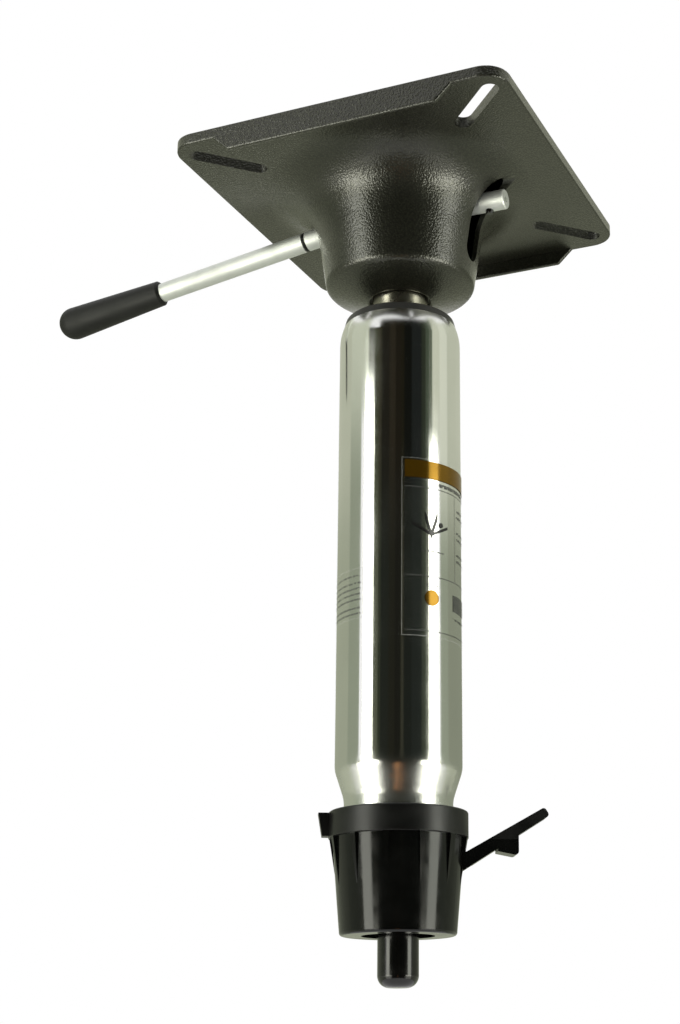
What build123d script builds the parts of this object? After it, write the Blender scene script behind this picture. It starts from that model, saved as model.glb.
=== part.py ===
"""Boat seat pedestal with a gas-lift column, a pressed seat plate and a taper plug for a deck base.

Millimetres, +Z up the post. The origin is on the axis, at the plug's bottom face, where the centre pin leaves it.
"""
import math
import os

from build123d import *

# Clearances
SLIP = 0.1  # between pieces that are pressed or slid together
RUNNING = 0.06  # radial, between a turning or sliding shaft and its hole
STOP_GAP = 0.3  # between a moving piece and the stop it rests against
BEARING_GAP = 0.05  # between the balls and the race that turns on them

# Taper plug
PLUG_BASE_RADIUS = 27.0
PLUG_CONE_HEIGHT = 44.4
PLUG_TAPER_DEG = 4.76
PLUG_EDGE_RADIUS = 1.5
RIM_RADIUS = 32.6
RIM_HEIGHT = 12.2
RIM_EDGE_RADIUS = 0.8
SOCKET_DEPTH = 12.1
WEB_THICK = 6.0
HOLLOW_RADIUS = 17.0
BOSS_WALL = 3.5
BOSS_RECESS = 4.0
RIB_COUNT = 12
RIB_WIDTH_TOP = 3.0
RIB_WIDTH_TIP = 0.5
RIB_LENGTH = 22.4
RIB_INSET = 0.2
RIB_FIRST_DEG = 14.0
TAB_AZIMUTH_DEG = 209.0
TAB_WIDTH = 7.0
TAB_REACH_TOP = 4.8
TAB_REACH_BOTTOM = 3.0
TAB_INSET = 0.7

# Centre pin, 3/4 in
PIN_DIA = 19.05
PIN_DROP = 23.2
PIN_NOSE_RADIUS = 5.5
PIN_SHANK_DIA = 17.8
STUD_DIA = 11.9

# Post tube, 2-3/8 in
TUBE_DIA = 60.3
TUBE_WALL = 2.0
TUBE_LENGTH = 255.3
SPIGOT_RADIUS = 25.6
SWAGE_CLEAR = 6.1  # straight spigot showing above the plug
SWAGE_HEIGHT = 14.0
SWAGE_BLEND = 14.0
SHOULDER_HEIGHT = 10.3
MOUTH_RADIUS = 28.2

# Top cap and guide bushing
CAP_HEIGHT = 4.0
CAP_DRAW_IN = 1.1
CAP_EDGE_RADIUS = 0.8
CAP_SPIGOT_LENGTH = 7.0
CAP_SPIGOT_WALL = 2.2
GUIDE_LENGTH = 92.0
GUIDE_TOP_DROP = 12.0  # below the tube's mouth
GUIDE_SLEEVE_WALL = 3.2
GUIDE_COLLAR = 7.0
GUIDE_COLLARS = 3

# Foot of the gas spring
END_BLOCK_HEIGHT = 10.0
SEAT_CUP_HEIGHT = 10.0
SEAT_CUP_PLATE = 3.0
SEAT_CUP_WALL = 2.5
ROD_DIA = 10.0
ROD_END_DIA = 8.0
ROD_END_BELOW_CUP = 4.5
CLIP_THICK = 1.5
CLIP_DIA = 15.0
CLIP_GROOVE_DIA = 6.4
CLIP_MOUTH = 5.0
WASHER_THICK = 2.0
WASHER_DIA = 23.0
BALL_DIA = 3.2
BALL_COUNT = 12
BALL_PITCH_RADIUS = 8.1
CAGE_THICK = 2.0
BUMPER_HEIGHT = 12.0
BUMPER_DIA = 23.0
BUMPER_BORE_GAP = 0.3

# Gas cylinder
CYLINDER_DIA = 28.0
CYLINDER_WALL = 1.5
CYLINDER_LIP = 1.5
CYLINDER_LIP_REACH = 1.5
NECK_SHOWING = 11.4
TAPER_RUN_IN = 3.0  # straight neck inside the seat cup before the taper starts
TAPER_DRAW_IN = 1.0
CYLINDER_ABOVE_HOLE = 34.8
ROD_GUIDE_HEIGHT = 14.0
PISTON_HEIGHT = 12.0
PISTON_TOP_BELOW_VALVE = 8.0
PISTON_SPIGOT_DIA = 6.0
PISTON_SPIGOT_EXTRA = 2.0
SEAL_HEIGHT = 3.0
SEAL_DEPTH = 1.5
LIFT_STROKE = 100.0
SPACER_WALL = 2.0
VALVE_HEIGHT = 23.5
VALVE_FLOOR = 4.5
BUTTON_DIA = 7.0
BUTTON_STEM = 23.0
BUTTON_CROWN = 0.9

# Seat plate, 7 in square
PLATE_SIDE = 177.0
PLATE_LENGTH = 173.0  # along the handle
PLATE_SHIFT = 2.0  # plate's centre from the post's axis, away from the handle
PLATE_THICK = 2.5
COVER_THICK = 3.0
PLATE_CORNER_RADIUS = 12.0
PLATE_ABOVE_HOLE = 64.8
PLATE_EDGE_ROUND = 0.8
COVER_EDGE_ROUND = 0.5
FLANGE_DEPTH = 13.0
FLANGE_HALF_LENGTH = 54.0
FLANGE_CHAMFER = 8.0
FLANGE_CORNER_RADIUS = 2.0
BOLT_SLOT_WIDTH = 8.5
BOLT_SLOT_LENGTH = 39.5
BOLT_SLOT_INSET = 20.739  # slot's middle from the plate's nearer edges
CUP_HOLE_RADIUS = 15.3
CUP_EDGE_CORNER = 37.4
CUP_DISH = 7.5
CUP_EDGE_ROUND = 4.0
BELL_RADIUS = 30.0
BELL_MOUTH_RADIUS = 71.0
CUTOUT_WIDTH = 13.0
CUTOUT_HEIGHT = 41.5
CUTOUT_BELOW_TOP = 27.3
HUB_HEIGHT = 27.0
HUB_WALL = 4.5
HUB_FOOT_WALL = 11.0
HUB_FOOT_HEIGHT = 4.0

# Handle
HANDLE_ROD_DIA = 10.0
PIVOT_BELOW_TOP = 18.2
HANDLE_DROOP_DEG = 8.4
HANDLE_TAIL_DROOP_DEG = 0.94
BEND_FROM_PIVOT = 12.0
BEND_RADIUS = 20.0
TAIL_FROM_AXIS = 57.8
PIVOT_HOLE_GAP = 0.6
GRIP_FROM_PIVOT = 96.5
GRIP_LENGTH = 64.5
GRIP_DIA = 13.4
GRIP_END_DIA = 17.4
GRIP_WALL_AT_TIP = 10.0
RING_FROM_PIVOT = 9.1
RING_WIRE_DIA = 1.5
RING_GROOVE_WIDTH = 1.9
TAIL_PIN_FROM_AXIS = 49.0
TAIL_PIN_DIA = 4.0
TAIL_PIN_DROP = 1.6
TAIL_PIN_EDGE = 0.5
TAIL_DIMPLE_DIA = 3.0
ROD_CHAMFER = 0.5

# Lock lever
LEVER_AZIMUTH_DEG = 29.0
LEVER_PIVOT_RADIUS = 24.5
LEVER_PIVOT_LEVEL = 30.5
LEVER_SLOPE_DEG = 31.1
LEVER_LENGTH = 52.5
LEVER_ROOT_THICK = 7.1
LEVER_TIP_THICK = 4.5
LEVER_WIDTH = 10.0
LEVER_HUB_RADIUS = 4.0
LEVER_HUB_RUN = 6.0
HOOK_REACH = 31.3
HOOK_LEVEL = 6.2
HOOK_ROOT_REACH = 21.5
HOOK_ROOT_LEVEL = 8.1
HOOK_ROUND = 1.8
LEVER_PIN_DIA = 4.0
LEVER_PIN_LENGTH = 20.0
LEVER_SLOT_SIDE_GAP = 0.4
LEVER_SLOT_ROOF = 3.4  # plug material left between the slot and the rim
SPRING_WIRE_DIA = 0.9
SPRING_COIL_RADIUS = 4.25
SPRING_PITCH = 1.1
SPRING_FULL_TURNS = 2
SPRING_LEG_LOWER = 4.0
SPRING_LEG_UPPER = 9.0
SPRING_SPACE = 3.8

# Labels on the post, azimuths about +Z from +X
LABEL_THICK = 0.25
LABEL_LIFT = 0.05
MAIN_LABEL_FIRST_DEG = -64.2
MAIN_LABEL_SPAN_DEG = 106.0
MAIN_LABEL_HEIGHT = 87.2
MAIN_LABEL_BELOW_MOUTH = 77.9
SIDE_LABEL_FIRST_DEG = -162.0
SIDE_LABEL_SPAN_DEG = 61.8
SIDE_LABEL_HEIGHT = 24.3
SIDE_LABEL_BELOW_MOUTH = 131.0

# Levels up the axis, worked out from the sizes above
PLUG_TOP = PLUG_CONE_HEIGHT + RIM_HEIGHT
TUBE_BOTTOM = PLUG_TOP - SOCKET_DEPTH
WEB_BOTTOM = TUBE_BOTTOM - WEB_THICK
TUBE_TOP = TUBE_BOTTOM + TUBE_LENGTH
SHOULDER_BOTTOM = TUBE_TOP - SHOULDER_HEIGHT
SWAGE_BOTTOM = PLUG_TOP + SWAGE_CLEAR
SWAGE_TOP = SWAGE_BOTTOM + SWAGE_HEIGHT
CAP_TOP = TUBE_TOP + CAP_HEIGHT
GUIDE_TOP = TUBE_TOP - GUIDE_TOP_DROP
BLOCK_TOP = TUBE_BOTTOM + END_BLOCK_HEIGHT
SEAT_CUP_TOP = BLOCK_TOP + SEAT_CUP_HEIGHT
BALLS_BOTTOM = SEAT_CUP_TOP + WASHER_THICK
RACE_BOTTOM = BALLS_BOTTOM + BALL_DIA + BEARING_GAP
RACE_TOP = RACE_BOTTOM + WASHER_THICK
BUMPER_TOP = RACE_TOP + BUMPER_HEIGHT
CYLINDER_BOTTOM = BUMPER_TOP + STOP_GAP
CUP_HOLE_LEVEL = CAP_TOP + NECK_SHOWING
CYLINDER_TOP = CUP_HOLE_LEVEL + CYLINDER_ABOVE_HOLE
TAPER_BOTTOM = CUP_HOLE_LEVEL + TAPER_RUN_IN
VALVE_TOP = CYLINDER_TOP - CYLINDER_LIP
VALVE_BOTTOM = VALVE_TOP - VALVE_HEIGHT
PISTON_TOP = VALVE_BOTTOM - PISTON_TOP_BELOW_VALVE
PISTON_BOTTOM = PISTON_TOP - PISTON_HEIGHT
CUP_EDGE_LEVEL = CUP_HOLE_LEVEL + CUP_DISH
PLATE_TOP = CUP_HOLE_LEVEL + PLATE_ABOVE_HOLE
COVER_BOTTOM = PLATE_TOP - COVER_THICK
PLATE_UNDERSIDE = COVER_BOTTOM - PLATE_THICK
PIVOT_LEVEL = PLATE_TOP - PIVOT_BELOW_TOP

# Radii worked out from the sizes above
TUBE_RADIUS = TUBE_DIA / 2
TUBE_BORE = TUBE_RADIUS - TUBE_WALL
SPIGOT_BORE = SPIGOT_RADIUS - TUBE_WALL
CYLINDER_RADIUS = CYLINDER_DIA / 2
CYLINDER_BORE = CYLINDER_RADIUS - CYLINDER_WALL
ROD_RADIUS = ROD_DIA / 2
ROD_END_RADIUS = ROD_END_DIA / 2
HANDLE_ROD_RADIUS = HANDLE_ROD_DIA / 2
PLUG_CONE_TOP_RADIUS = PLUG_BASE_RADIUS + PLUG_CONE_HEIGHT * math.tan(math.radians(PLUG_TAPER_DEG))


def turned(points, rounds=()):
    """Solid of revolution about Z from (radius, level) points; rounds lists (radius, level, corner radius)."""
    face = make_face(Plane.XZ * Polyline(*points, close=True))
    for radius, level, corner in rounds:
        vertex = face.vertices().sort_by_distance(Vector(radius, 0, level))[0]
        face = fillet(vertex, corner)
    return revolve(face, Axis.Z)


def ring(outer, inner, bottom, top):
    """Plain ring or sleeve about Z."""
    return turned([(inner, bottom), (outer, bottom), (outer, top), (inner, top)])


def turned_to(solid, azimuth):
    """The solid, built on the +X side, turned about Z to its azimuth."""
    return Rot(0, 0, azimuth) * solid


def side_profile(points, width, offset=0.0):
    """Plate of the given width across Y from (radius, level) points in the XZ plane."""
    face = make_face(Plane.XZ.offset(-offset) * Polyline(*points, close=True))
    return extrude(face, amount=width / 2, both=True)


def plug_rib():
    """One tapering rib under the rim, flush with it at its top."""
    run_out = PLUG_CONE_HEIGHT - RIB_LENGTH
    slope = math.tan(math.radians(PLUG_TAPER_DEG))
    tip_radius = PLUG_BASE_RADIUS + run_out * slope
    root = BOSS_WALL / 2
    points = [
        (PLUG_CONE_TOP_RADIUS - root, PLUG_CONE_HEIGHT + SLIP),
        (RIM_RADIUS - RIB_INSET, PLUG_CONE_HEIGHT + SLIP),
        (tip_radius, run_out),
        (tip_radius - root, run_out),
    ]
    half_top = RIB_WIDTH_TOP / 2
    half_tip = RIB_WIDTH_TIP / 2
    outline = [
        (-half_top, PLUG_CONE_HEIGHT + SLIP),
        (half_top, PLUG_CONE_HEIGHT + SLIP),
        (half_tip, run_out),
        (-half_tip, run_out),
    ]
    wedge = extrude(make_face(Plane.YZ * Polyline(*outline, close=True)), amount=2 * RIM_RADIUS, both=True)
    return side_profile(points, RIB_WIDTH_TOP) & wedge


def plug_tab():
    """Key tab on the rim that lines the plug up with its base."""
    inner = RIM_RADIUS - TAB_WIDTH / 2
    points = [
        (inner, PLUG_CONE_HEIGHT + TAB_INSET),
        (RIM_RADIUS + TAB_REACH_BOTTOM, PLUG_CONE_HEIGHT + TAB_INSET),
        (RIM_RADIUS + TAB_REACH_TOP, PLUG_TOP - TAB_INSET),
        (inner, PLUG_TOP - TAB_INSET),
    ]
    return side_profile(points, TAB_WIDTH)


def lever_slot_floor():
    """Level of the floor of the lever's slot, just under the spring's coil."""
    return LEVER_PIVOT_LEVEL - SPRING_COIL_RADIUS - SPRING_WIRE_DIA / 2 - STOP_GAP


def taper_plug():
    """Moulded plug: rim, ribs, tapering body, socket for the tube, hollow underside and boss for the pin."""
    socket_radius = SPIGOT_RADIUS + SLIP
    stud_hole = STUD_DIA / 2 + SLIP
    boss_bore = PIN_SHANK_DIA / 2 + SLIP
    boss_radius = boss_bore + BOSS_WALL
    body = turned(
        [
            (HOLLOW_RADIUS, 0),
            (PLUG_BASE_RADIUS, 0),
            (PLUG_CONE_TOP_RADIUS, PLUG_CONE_HEIGHT),
            (RIM_RADIUS, PLUG_CONE_HEIGHT),
            (RIM_RADIUS, PLUG_TOP),
            (socket_radius, PLUG_TOP),
            (socket_radius, TUBE_BOTTOM),
            (stud_hole, TUBE_BOTTOM),
            (stud_hole, WEB_BOTTOM),
            (boss_bore, WEB_BOTTOM),
            (boss_bore, BOSS_RECESS),
            (boss_radius, BOSS_RECESS),
            (boss_radius, WEB_BOTTOM),
            (HOLLOW_RADIUS, WEB_BOTTOM),
        ],
        [
            (PLUG_BASE_RADIUS, 0, PLUG_EDGE_RADIUS),
            (RIM_RADIUS, PLUG_TOP, RIM_EDGE_RADIUS),
            (RIM_RADIUS, PLUG_CONE_HEIGHT, RIM_EDGE_RADIUS / 2),
        ],
    )
    for index in range(RIB_COUNT):
        body += turned_to(plug_rib(), RIB_FIRST_DEG + index * 360 / RIB_COUNT)
    body += turned_to(plug_tab(), TAB_AZIMUTH_DEG)
    slot_width = LEVER_WIDTH + 2 * LEVER_SLOT_SIDE_GAP
    slot_inner = LEVER_PIVOT_RADIUS - LEVER_HUB_RADIUS - SPRING_WIRE_DIA
    floor = lever_slot_floor()
    roof = PLUG_CONE_HEIGHT - LEVER_SLOT_ROOF
    slot = side_profile(
        [(slot_inner, floor), (RIM_RADIUS, floor), (RIM_RADIUS, roof), (slot_inner, roof)], slot_width
    )
    body -= turned_to(slot, LEVER_AZIMUTH_DEG)
    body -= turned_to(lever_pin_shape(LEVER_PIN_DIA / 2 + RUNNING), LEVER_AZIMUTH_DEG)
    return body


def lever_pin_shape(radius):
    """Pin across the lever's slot, on the +X side."""
    axis = Plane(origin=(LEVER_PIVOT_RADIUS, 0, LEVER_PIVOT_LEVEL), z_dir=(0, 1, 0))
    return axis * Cylinder(radius, LEVER_PIN_LENGTH)


def lever_pin():
    """Steel pin that the lock lever turns on."""
    return turned_to(lever_pin_shape(LEVER_PIN_DIA / 2), LEVER_AZIMUTH_DEG)


def lock_lever():
    """Moulded lock lever: a sloping arm with a hook under it and a hub on the pin."""
    slope = math.radians(LEVER_SLOPE_DEG)
    along = Vector(math.cos(slope), 0, math.sin(slope))
    across = Vector(-math.sin(slope), 0, math.cos(slope))
    pivot = Vector(LEVER_PIVOT_RADIUS, 0, LEVER_PIVOT_LEVEL)

    def on_arm(run, rise):
        place = pivot + along * run + across * rise
        return (place.X, place.Z)

    arm_points = [
        on_arm(0, -LEVER_ROOT_THICK / 2),
        on_arm(LEVER_LENGTH, -LEVER_TIP_THICK / 2),
        on_arm(LEVER_LENGTH, LEVER_TIP_THICK / 2),
        on_arm(0, LEVER_ROOT_THICK / 2),
    ]
    arm_face = make_face(Plane.XZ * Polyline(*arm_points, close=True))
    tip = [v for v in arm_face.vertices() if v.X > LEVER_PIVOT_RADIUS + LEVER_LENGTH / 2]
    arm_face = fillet(tip, LEVER_TIP_THICK / 3)
    arm = extrude(arm_face, amount=LEVER_WIDTH / 2, both=True)
    arm_level = pivot.Z + HOOK_REACH * math.tan(slope)
    hook_points = [
        (pivot.X + HOOK_ROOT_REACH, pivot.Z + HOOK_ROOT_LEVEL),
        (pivot.X + HOOK_REACH, pivot.Z + HOOK_LEVEL),
        (pivot.X + HOOK_REACH, arm_level),
        (pivot.X + HOOK_ROOT_REACH, pivot.Z + HOOK_ROOT_REACH * math.tan(slope)),
    ]
    hook_face = make_face(Plane.XZ * Polyline(*hook_points, close=True))
    toe = hook_face.vertices().sort_by_distance(Vector(pivot.X + HOOK_REACH, 0, pivot.Z + HOOK_LEVEL))[0]
    hook_face = fillet(toe, HOOK_ROUND)
    hook = extrude(hook_face, amount=LEVER_WIDTH / 2, both=True)
    hub_place = Plane(origin=pivot, z_dir=(0, 1, 0))
    hub = hub_place * Cylinder(LEVER_HUB_RADIUS, LEVER_WIDTH)
    lever = arm + hook + hub
    notch_centre = LEVER_WIDTH / 2 - SPRING_SPACE / 2
    notch_reach = LEVER_HUB_RUN + LEVER_HUB_RADIUS
    notch = Pos(pivot.X, notch_centre, pivot.Z) * Rot(0, -LEVER_SLOPE_DEG, 0) * Box(
        2 * notch_reach, SPRING_SPACE + SLIP, 4 * LEVER_HUB_RADIUS
    )
    lever -= notch
    lever -= lever_pin_shape(LEVER_PIN_DIA / 2 + RUNNING)
    return turned_to(lever, LEVER_AZIMUTH_DEG)


def lever_spring():
    """Torsion spring on the lever's pin: a coil with one leg over the arm and one on the slot's floor."""
    start = 90.0
    finish = 360.0 - (90.0 + LEVER_SLOPE_DEG)
    turns = SPRING_FULL_TURNS + (finish - start) / 360.0
    first_y = LEVER_WIDTH / 2 - SPRING_SPACE + SPRING_WIRE_DIA / 2 + SLIP
    axis = Plane(
        origin=(LEVER_PIVOT_RADIUS, first_y, LEVER_PIVOT_LEVEL), x_dir=(1, 0, 0), z_dir=(0, 1, 0)
    )
    coil_path = Helix(SPRING_PITCH, SPRING_PITCH * turns, SPRING_COIL_RADIUS)
    section = Plane(origin=coil_path @ 0, z_dir=coil_path % 0) * Circle(SPRING_WIRE_DIA / 2)
    coil = sweep(section, path=coil_path)
    lower = Plane(origin=coil_path @ 0, z_dir=-(coil_path % 0))
    upper = Plane(origin=coil_path @ 1, z_dir=coil_path % 1)
    align = (Align.CENTER, Align.CENTER, Align.MIN)
    legs = lower * Cylinder(SPRING_WIRE_DIA / 2, SPRING_LEG_LOWER, align=align)
    legs += upper * Cylinder(SPRING_WIRE_DIA / 2, SPRING_LEG_UPPER, align=align)
    spring = axis * Rot(0, 0, start) * (coil + legs)
    return turned_to(spring, LEVER_AZIMUTH_DEG)


def centre_pin():
    """Locating pin with a rounded nose, a shank in the plug's boss and a stud in the post's end block."""
    radius = PIN_DIA / 2
    shank = PIN_SHANK_DIA / 2
    stud_top = BLOCK_TOP - WEB_THICK / 4
    return turned(
        [
            (0, -PIN_DROP),
            (radius, -PIN_DROP),
            (radius, BOSS_RECESS),
            (shank, BOSS_RECESS),
            (shank, WEB_BOTTOM),
            (STUD_DIA / 2, WEB_BOTTOM),
            (STUD_DIA / 2, stud_top),
            (0, stud_top),
        ],
        [(radius, -PIN_DROP, PIN_NOSE_RADIUS)],
    )


def shoulder_radius():
    """Radius of the arc by which the tube's top draws in."""
    draw_in = TUBE_RADIUS - MOUTH_RADIUS
    return (SHOULDER_HEIGHT**2 + draw_in**2) / (2 * draw_in)


def post_tube():
    """Polished tube, swaged in at its foot and drawn in at its mouth, of one wall thickness."""
    radius = shoulder_radius()
    centre = (TUBE_RADIUS - radius, SHOULDER_BOTTOM)
    mouth_angle = math.degrees(math.asin(SHOULDER_HEIGHT / radius))
    inner_angle = math.degrees(math.asin(SHOULDER_HEIGHT / (radius - TUBE_WALL)))
    outside = [
        (SPIGOT_RADIUS, TUBE_BOTTOM),
        (SPIGOT_RADIUS, SWAGE_BOTTOM),
        (TUBE_RADIUS, SWAGE_TOP),
        (TUBE_RADIUS, SHOULDER_BOTTOM),
    ]
    inside = [(point[0] - TUBE_WALL, point[1]) for point in outside]
    outer_arc = CenterArc(centre, radius, 0, mouth_angle)
    inner_arc = CenterArc(centre, radius - TUBE_WALL, 0, inner_angle)
    edges = Polyline(*outside).edges() + outer_arc.edges() + inner_arc.edges() + Polyline(*inside).edges()
    edges += Line(outside[0], inside[0]).edges() + Line(outer_arc @ 1, inner_arc @ 1).edges()
    face = Plane.XZ * make_face(edges)
    for radius_at in (SPIGOT_RADIUS, TUBE_RADIUS, SPIGOT_BORE, TUBE_BORE):
        level = SWAGE_BOTTOM if radius_at in (SPIGOT_RADIUS, SPIGOT_BORE) else SWAGE_TOP
        vertex = face.vertices().sort_by_distance(Vector(radius_at, 0, level))[0]
        face = fillet(vertex, SWAGE_BLEND)
    return revolve(face, Axis.Z)


def mouth_bore():
    """Radius of the tube's bore at its mouth."""
    radius = shoulder_radius()
    inner = radius - TUBE_WALL
    return TUBE_RADIUS - radius + math.sqrt(inner**2 - SHOULDER_HEIGHT**2)


def top_cap():
    """Moulded cap on the tube's mouth, with a spigot in the tube and a wiping bore round the cylinder."""
    bore = CYLINDER_RADIUS + SLIP
    spigot = mouth_bore() - SLIP
    spigot_bottom = TUBE_TOP - CAP_SPIGOT_LENGTH
    web_bottom = TUBE_TOP - CAP_HEIGHT / 2
    return turned(
        [
            (bore, CAP_TOP),
            (bore, web_bottom),
            (spigot - CAP_SPIGOT_WALL, web_bottom),
            (spigot - CAP_SPIGOT_WALL, spigot_bottom),
            (spigot, spigot_bottom),
            (spigot, TUBE_TOP),
            (MOUTH_RADIUS, TUBE_TOP),
            (MOUTH_RADIUS - CAP_DRAW_IN, CAP_TOP),
        ],
        [(MOUTH_RADIUS - CAP_DRAW_IN, CAP_TOP, CAP_EDGE_RADIUS)],
    )


def guide_bushing():
    """Long moulded sleeve that the cylinder slides in, with collars that fill the tube."""
    inner = CYLINDER_RADIUS + RUNNING
    bottom = GUIDE_TOP - GUIDE_LENGTH
    sleeve = ring(inner + GUIDE_SLEEVE_WALL, inner, bottom, GUIDE_TOP)
    step = (GUIDE_LENGTH - GUIDE_COLLAR) / (GUIDE_COLLARS - 1)
    for index in range(GUIDE_COLLARS):
        level = bottom + index * step
        sleeve += ring(TUBE_BORE - SLIP, inner, level, level + GUIDE_COLLAR)
    return sleeve


def end_block():
    """Tapped block in the tube's foot, which the centre pin's stud is screwed into."""
    return ring(SPIGOT_BORE - SLIP, STUD_DIA / 2 + RUNNING, TUBE_BOTTOM, BLOCK_TOP)


def rod_seat():
    """Upturned steel cup on the end block that carries the gas spring's foot."""
    outer = SPIGOT_BORE - SLIP
    hole = ROD_END_RADIUS + RUNNING
    plate_bottom = SEAT_CUP_TOP - SEAT_CUP_PLATE
    return turned(
        [
            (outer - SEAT_CUP_WALL, BLOCK_TOP),
            (outer, BLOCK_TOP),
            (outer, SEAT_CUP_TOP),
            (hole, SEAT_CUP_TOP),
            (hole, plate_bottom),
            (outer - SEAT_CUP_WALL, plate_bottom),
        ]
    )


def bearing_washer_lower():
    """Lower race of the thrust bearing."""
    return ring(WASHER_DIA / 2, ROD_END_RADIUS + RUNNING, SEAT_CUP_TOP, BALLS_BOTTOM)


def bearing_washer_upper():
    """Upper race of the thrust bearing, which turns with the piston rod."""
    return ring(WASHER_DIA / 2, ROD_END_RADIUS + SLIP, RACE_BOTTOM, RACE_TOP)


def ball_places():
    """Centres of the bearing's balls."""
    level = BALLS_BOTTOM + BALL_DIA / 2
    for index in range(BALL_COUNT):
        angle = 2 * math.pi * index / BALL_COUNT
        yield BALL_PITCH_RADIUS * math.cos(angle), BALL_PITCH_RADIUS * math.sin(angle), level


def bearing_balls():
    """Twelve separate steel balls."""
    return Compound(children=[Pos(*place) * Sphere(BALL_DIA / 2) for place in ball_places()])


def bearing_cage():
    """Ring with a hole for each ball."""
    level = BALLS_BOTTOM + BALL_DIA / 2
    margin = BALL_DIA / 2 + CAGE_THICK / 2
    cage = ring(
        BALL_PITCH_RADIUS + margin, BALL_PITCH_RADIUS - margin, level - CAGE_THICK / 2, level + CAGE_THICK / 2
    )
    for place in ball_places():
        cage -= Pos(*place) * Cylinder(BALL_DIA / 2 + SLIP, 2 * CAGE_THICK)
    return cage


def bump_stop():
    """Rubber buffer round the piston rod, under the cylinder."""
    return turned(
        [
            (ROD_RADIUS + BUMPER_BORE_GAP, RACE_TOP),
            (BUMPER_DIA / 2, RACE_TOP),
            (BUMPER_DIA / 2, BUMPER_TOP),
            (ROD_RADIUS + BUMPER_BORE_GAP, BUMPER_TOP),
        ],
        [(BUMPER_DIA / 2, BUMPER_TOP, BUMPER_HEIGHT / 6)],
    )


def clip_levels():
    """Bottom and top of the clip under the seat cup's plate."""
    top = SEAT_CUP_TOP - SEAT_CUP_PLATE - STOP_GAP
    return top - CLIP_THICK, top


def rod_clip():
    """Open spring clip in the groove at the foot of the piston rod."""
    bottom, top = clip_levels()
    clip = ring(CLIP_DIA / 2, CLIP_GROOVE_DIA / 2 + RUNNING, bottom, top)
    mouth = Pos(CLIP_DIA / 4, 0, (bottom + top) / 2) * Box(CLIP_DIA / 2, CLIP_MOUTH, 2 * CLIP_THICK)
    return clip - mouth


def piston_rod():
    """Ground rod, stepped at its foot for the bearing and the clip and at its head for the piston."""
    bottom, top = clip_levels()
    foot = SEAT_CUP_TOP - SEAT_CUP_PLATE - ROD_END_BELOW_CUP
    groove = CLIP_GROOVE_DIA / 2
    head = PISTON_SPIGOT_DIA / 2
    head_top = PISTON_TOP + PISTON_SPIGOT_EXTRA
    return turned(
        [
            (0, foot),
            (ROD_END_RADIUS, foot),
            (ROD_END_RADIUS, bottom - RUNNING),
            (groove, bottom - RUNNING),
            (groove, top + RUNNING),
            (ROD_END_RADIUS, top + RUNNING),
            (ROD_END_RADIUS, RACE_TOP),
            (ROD_RADIUS, RACE_TOP),
            (ROD_RADIUS, PISTON_BOTTOM),
            (head, PISTON_BOTTOM),
            (head, head_top),
            (0, head_top),
        ]
    )


def rebound_spacer():
    """Tube on the rod under the piston, which meets the rod guide at the top of the lift."""
    bottom = CYLINDER_BOTTOM + CYLINDER_LIP + ROD_GUIDE_HEIGHT + LIFT_STROKE + STOP_GAP
    return ring(ROD_RADIUS + SPACER_WALL, ROD_RADIUS + RUNNING, bottom, PISTON_BOTTOM)


def seal_levels():
    """Bottom and top of the seal in the piston's groove."""
    middle = (PISTON_BOTTOM + PISTON_TOP) / 2
    return middle - SEAL_HEIGHT / 2, middle + SEAL_HEIGHT / 2


def piston():
    """Piston on the rod's head, with a groove for its seal."""
    outer = CYLINDER_BORE - SLIP
    bore = PISTON_SPIGOT_DIA / 2
    bottom, top = seal_levels()
    return turned(
        [
            (bore, PISTON_BOTTOM),
            (outer, PISTON_BOTTOM),
            (outer, bottom),
            (outer - SEAL_DEPTH, bottom),
            (outer - SEAL_DEPTH, top),
            (outer, top),
            (outer, PISTON_TOP),
            (bore, PISTON_TOP),
        ]
    )


def piston_seal():
    """Seal ring in the piston's groove."""
    bottom, top = seal_levels()
    outer = CYLINDER_BORE - RUNNING
    return ring(outer, CYLINDER_BORE - SLIP - SEAL_DEPTH, bottom, top)


def neck_radius(level):
    """Outside radius of the cylinder's tapered head at a level."""
    share = (level - TAPER_BOTTOM) / (CYLINDER_TOP - TAPER_BOTTOM)
    return CYLINDER_RADIUS - TAPER_DRAW_IN * share


def gas_cylinder():
    """Drawn steel cylinder with rolled lips at both ends and a tapered head."""
    head = neck_radius(CYLINDER_TOP)
    lip = CYLINDER_BORE - CYLINDER_LIP_REACH
    head_bore = head - CYLINDER_WALL
    return turned(
        [
            (lip, CYLINDER_BOTTOM),
            (CYLINDER_RADIUS, CYLINDER_BOTTOM),
            (CYLINDER_RADIUS, TAPER_BOTTOM),
            (head, CYLINDER_TOP),
            (lip - TAPER_DRAW_IN, CYLINDER_TOP),
            (lip - TAPER_DRAW_IN, VALVE_TOP),
            (head_bore, VALVE_TOP),
            (head_bore, VALVE_BOTTOM),
            (CYLINDER_BORE, VALVE_BOTTOM),
            (CYLINDER_BORE, CYLINDER_BOTTOM + CYLINDER_LIP),
            (lip, CYLINDER_BOTTOM + CYLINDER_LIP),
        ],
        [(CYLINDER_RADIUS, CYLINDER_BOTTOM, CYLINDER_LIP / 2)],
    )


def rod_guide():
    """Guide and seal block at the cylinder's lower end."""
    bottom = CYLINDER_BOTTOM + CYLINDER_LIP
    return ring(CYLINDER_BORE - RUNNING, ROD_RADIUS + RUNNING, bottom, bottom + ROD_GUIDE_HEIGHT)


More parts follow.
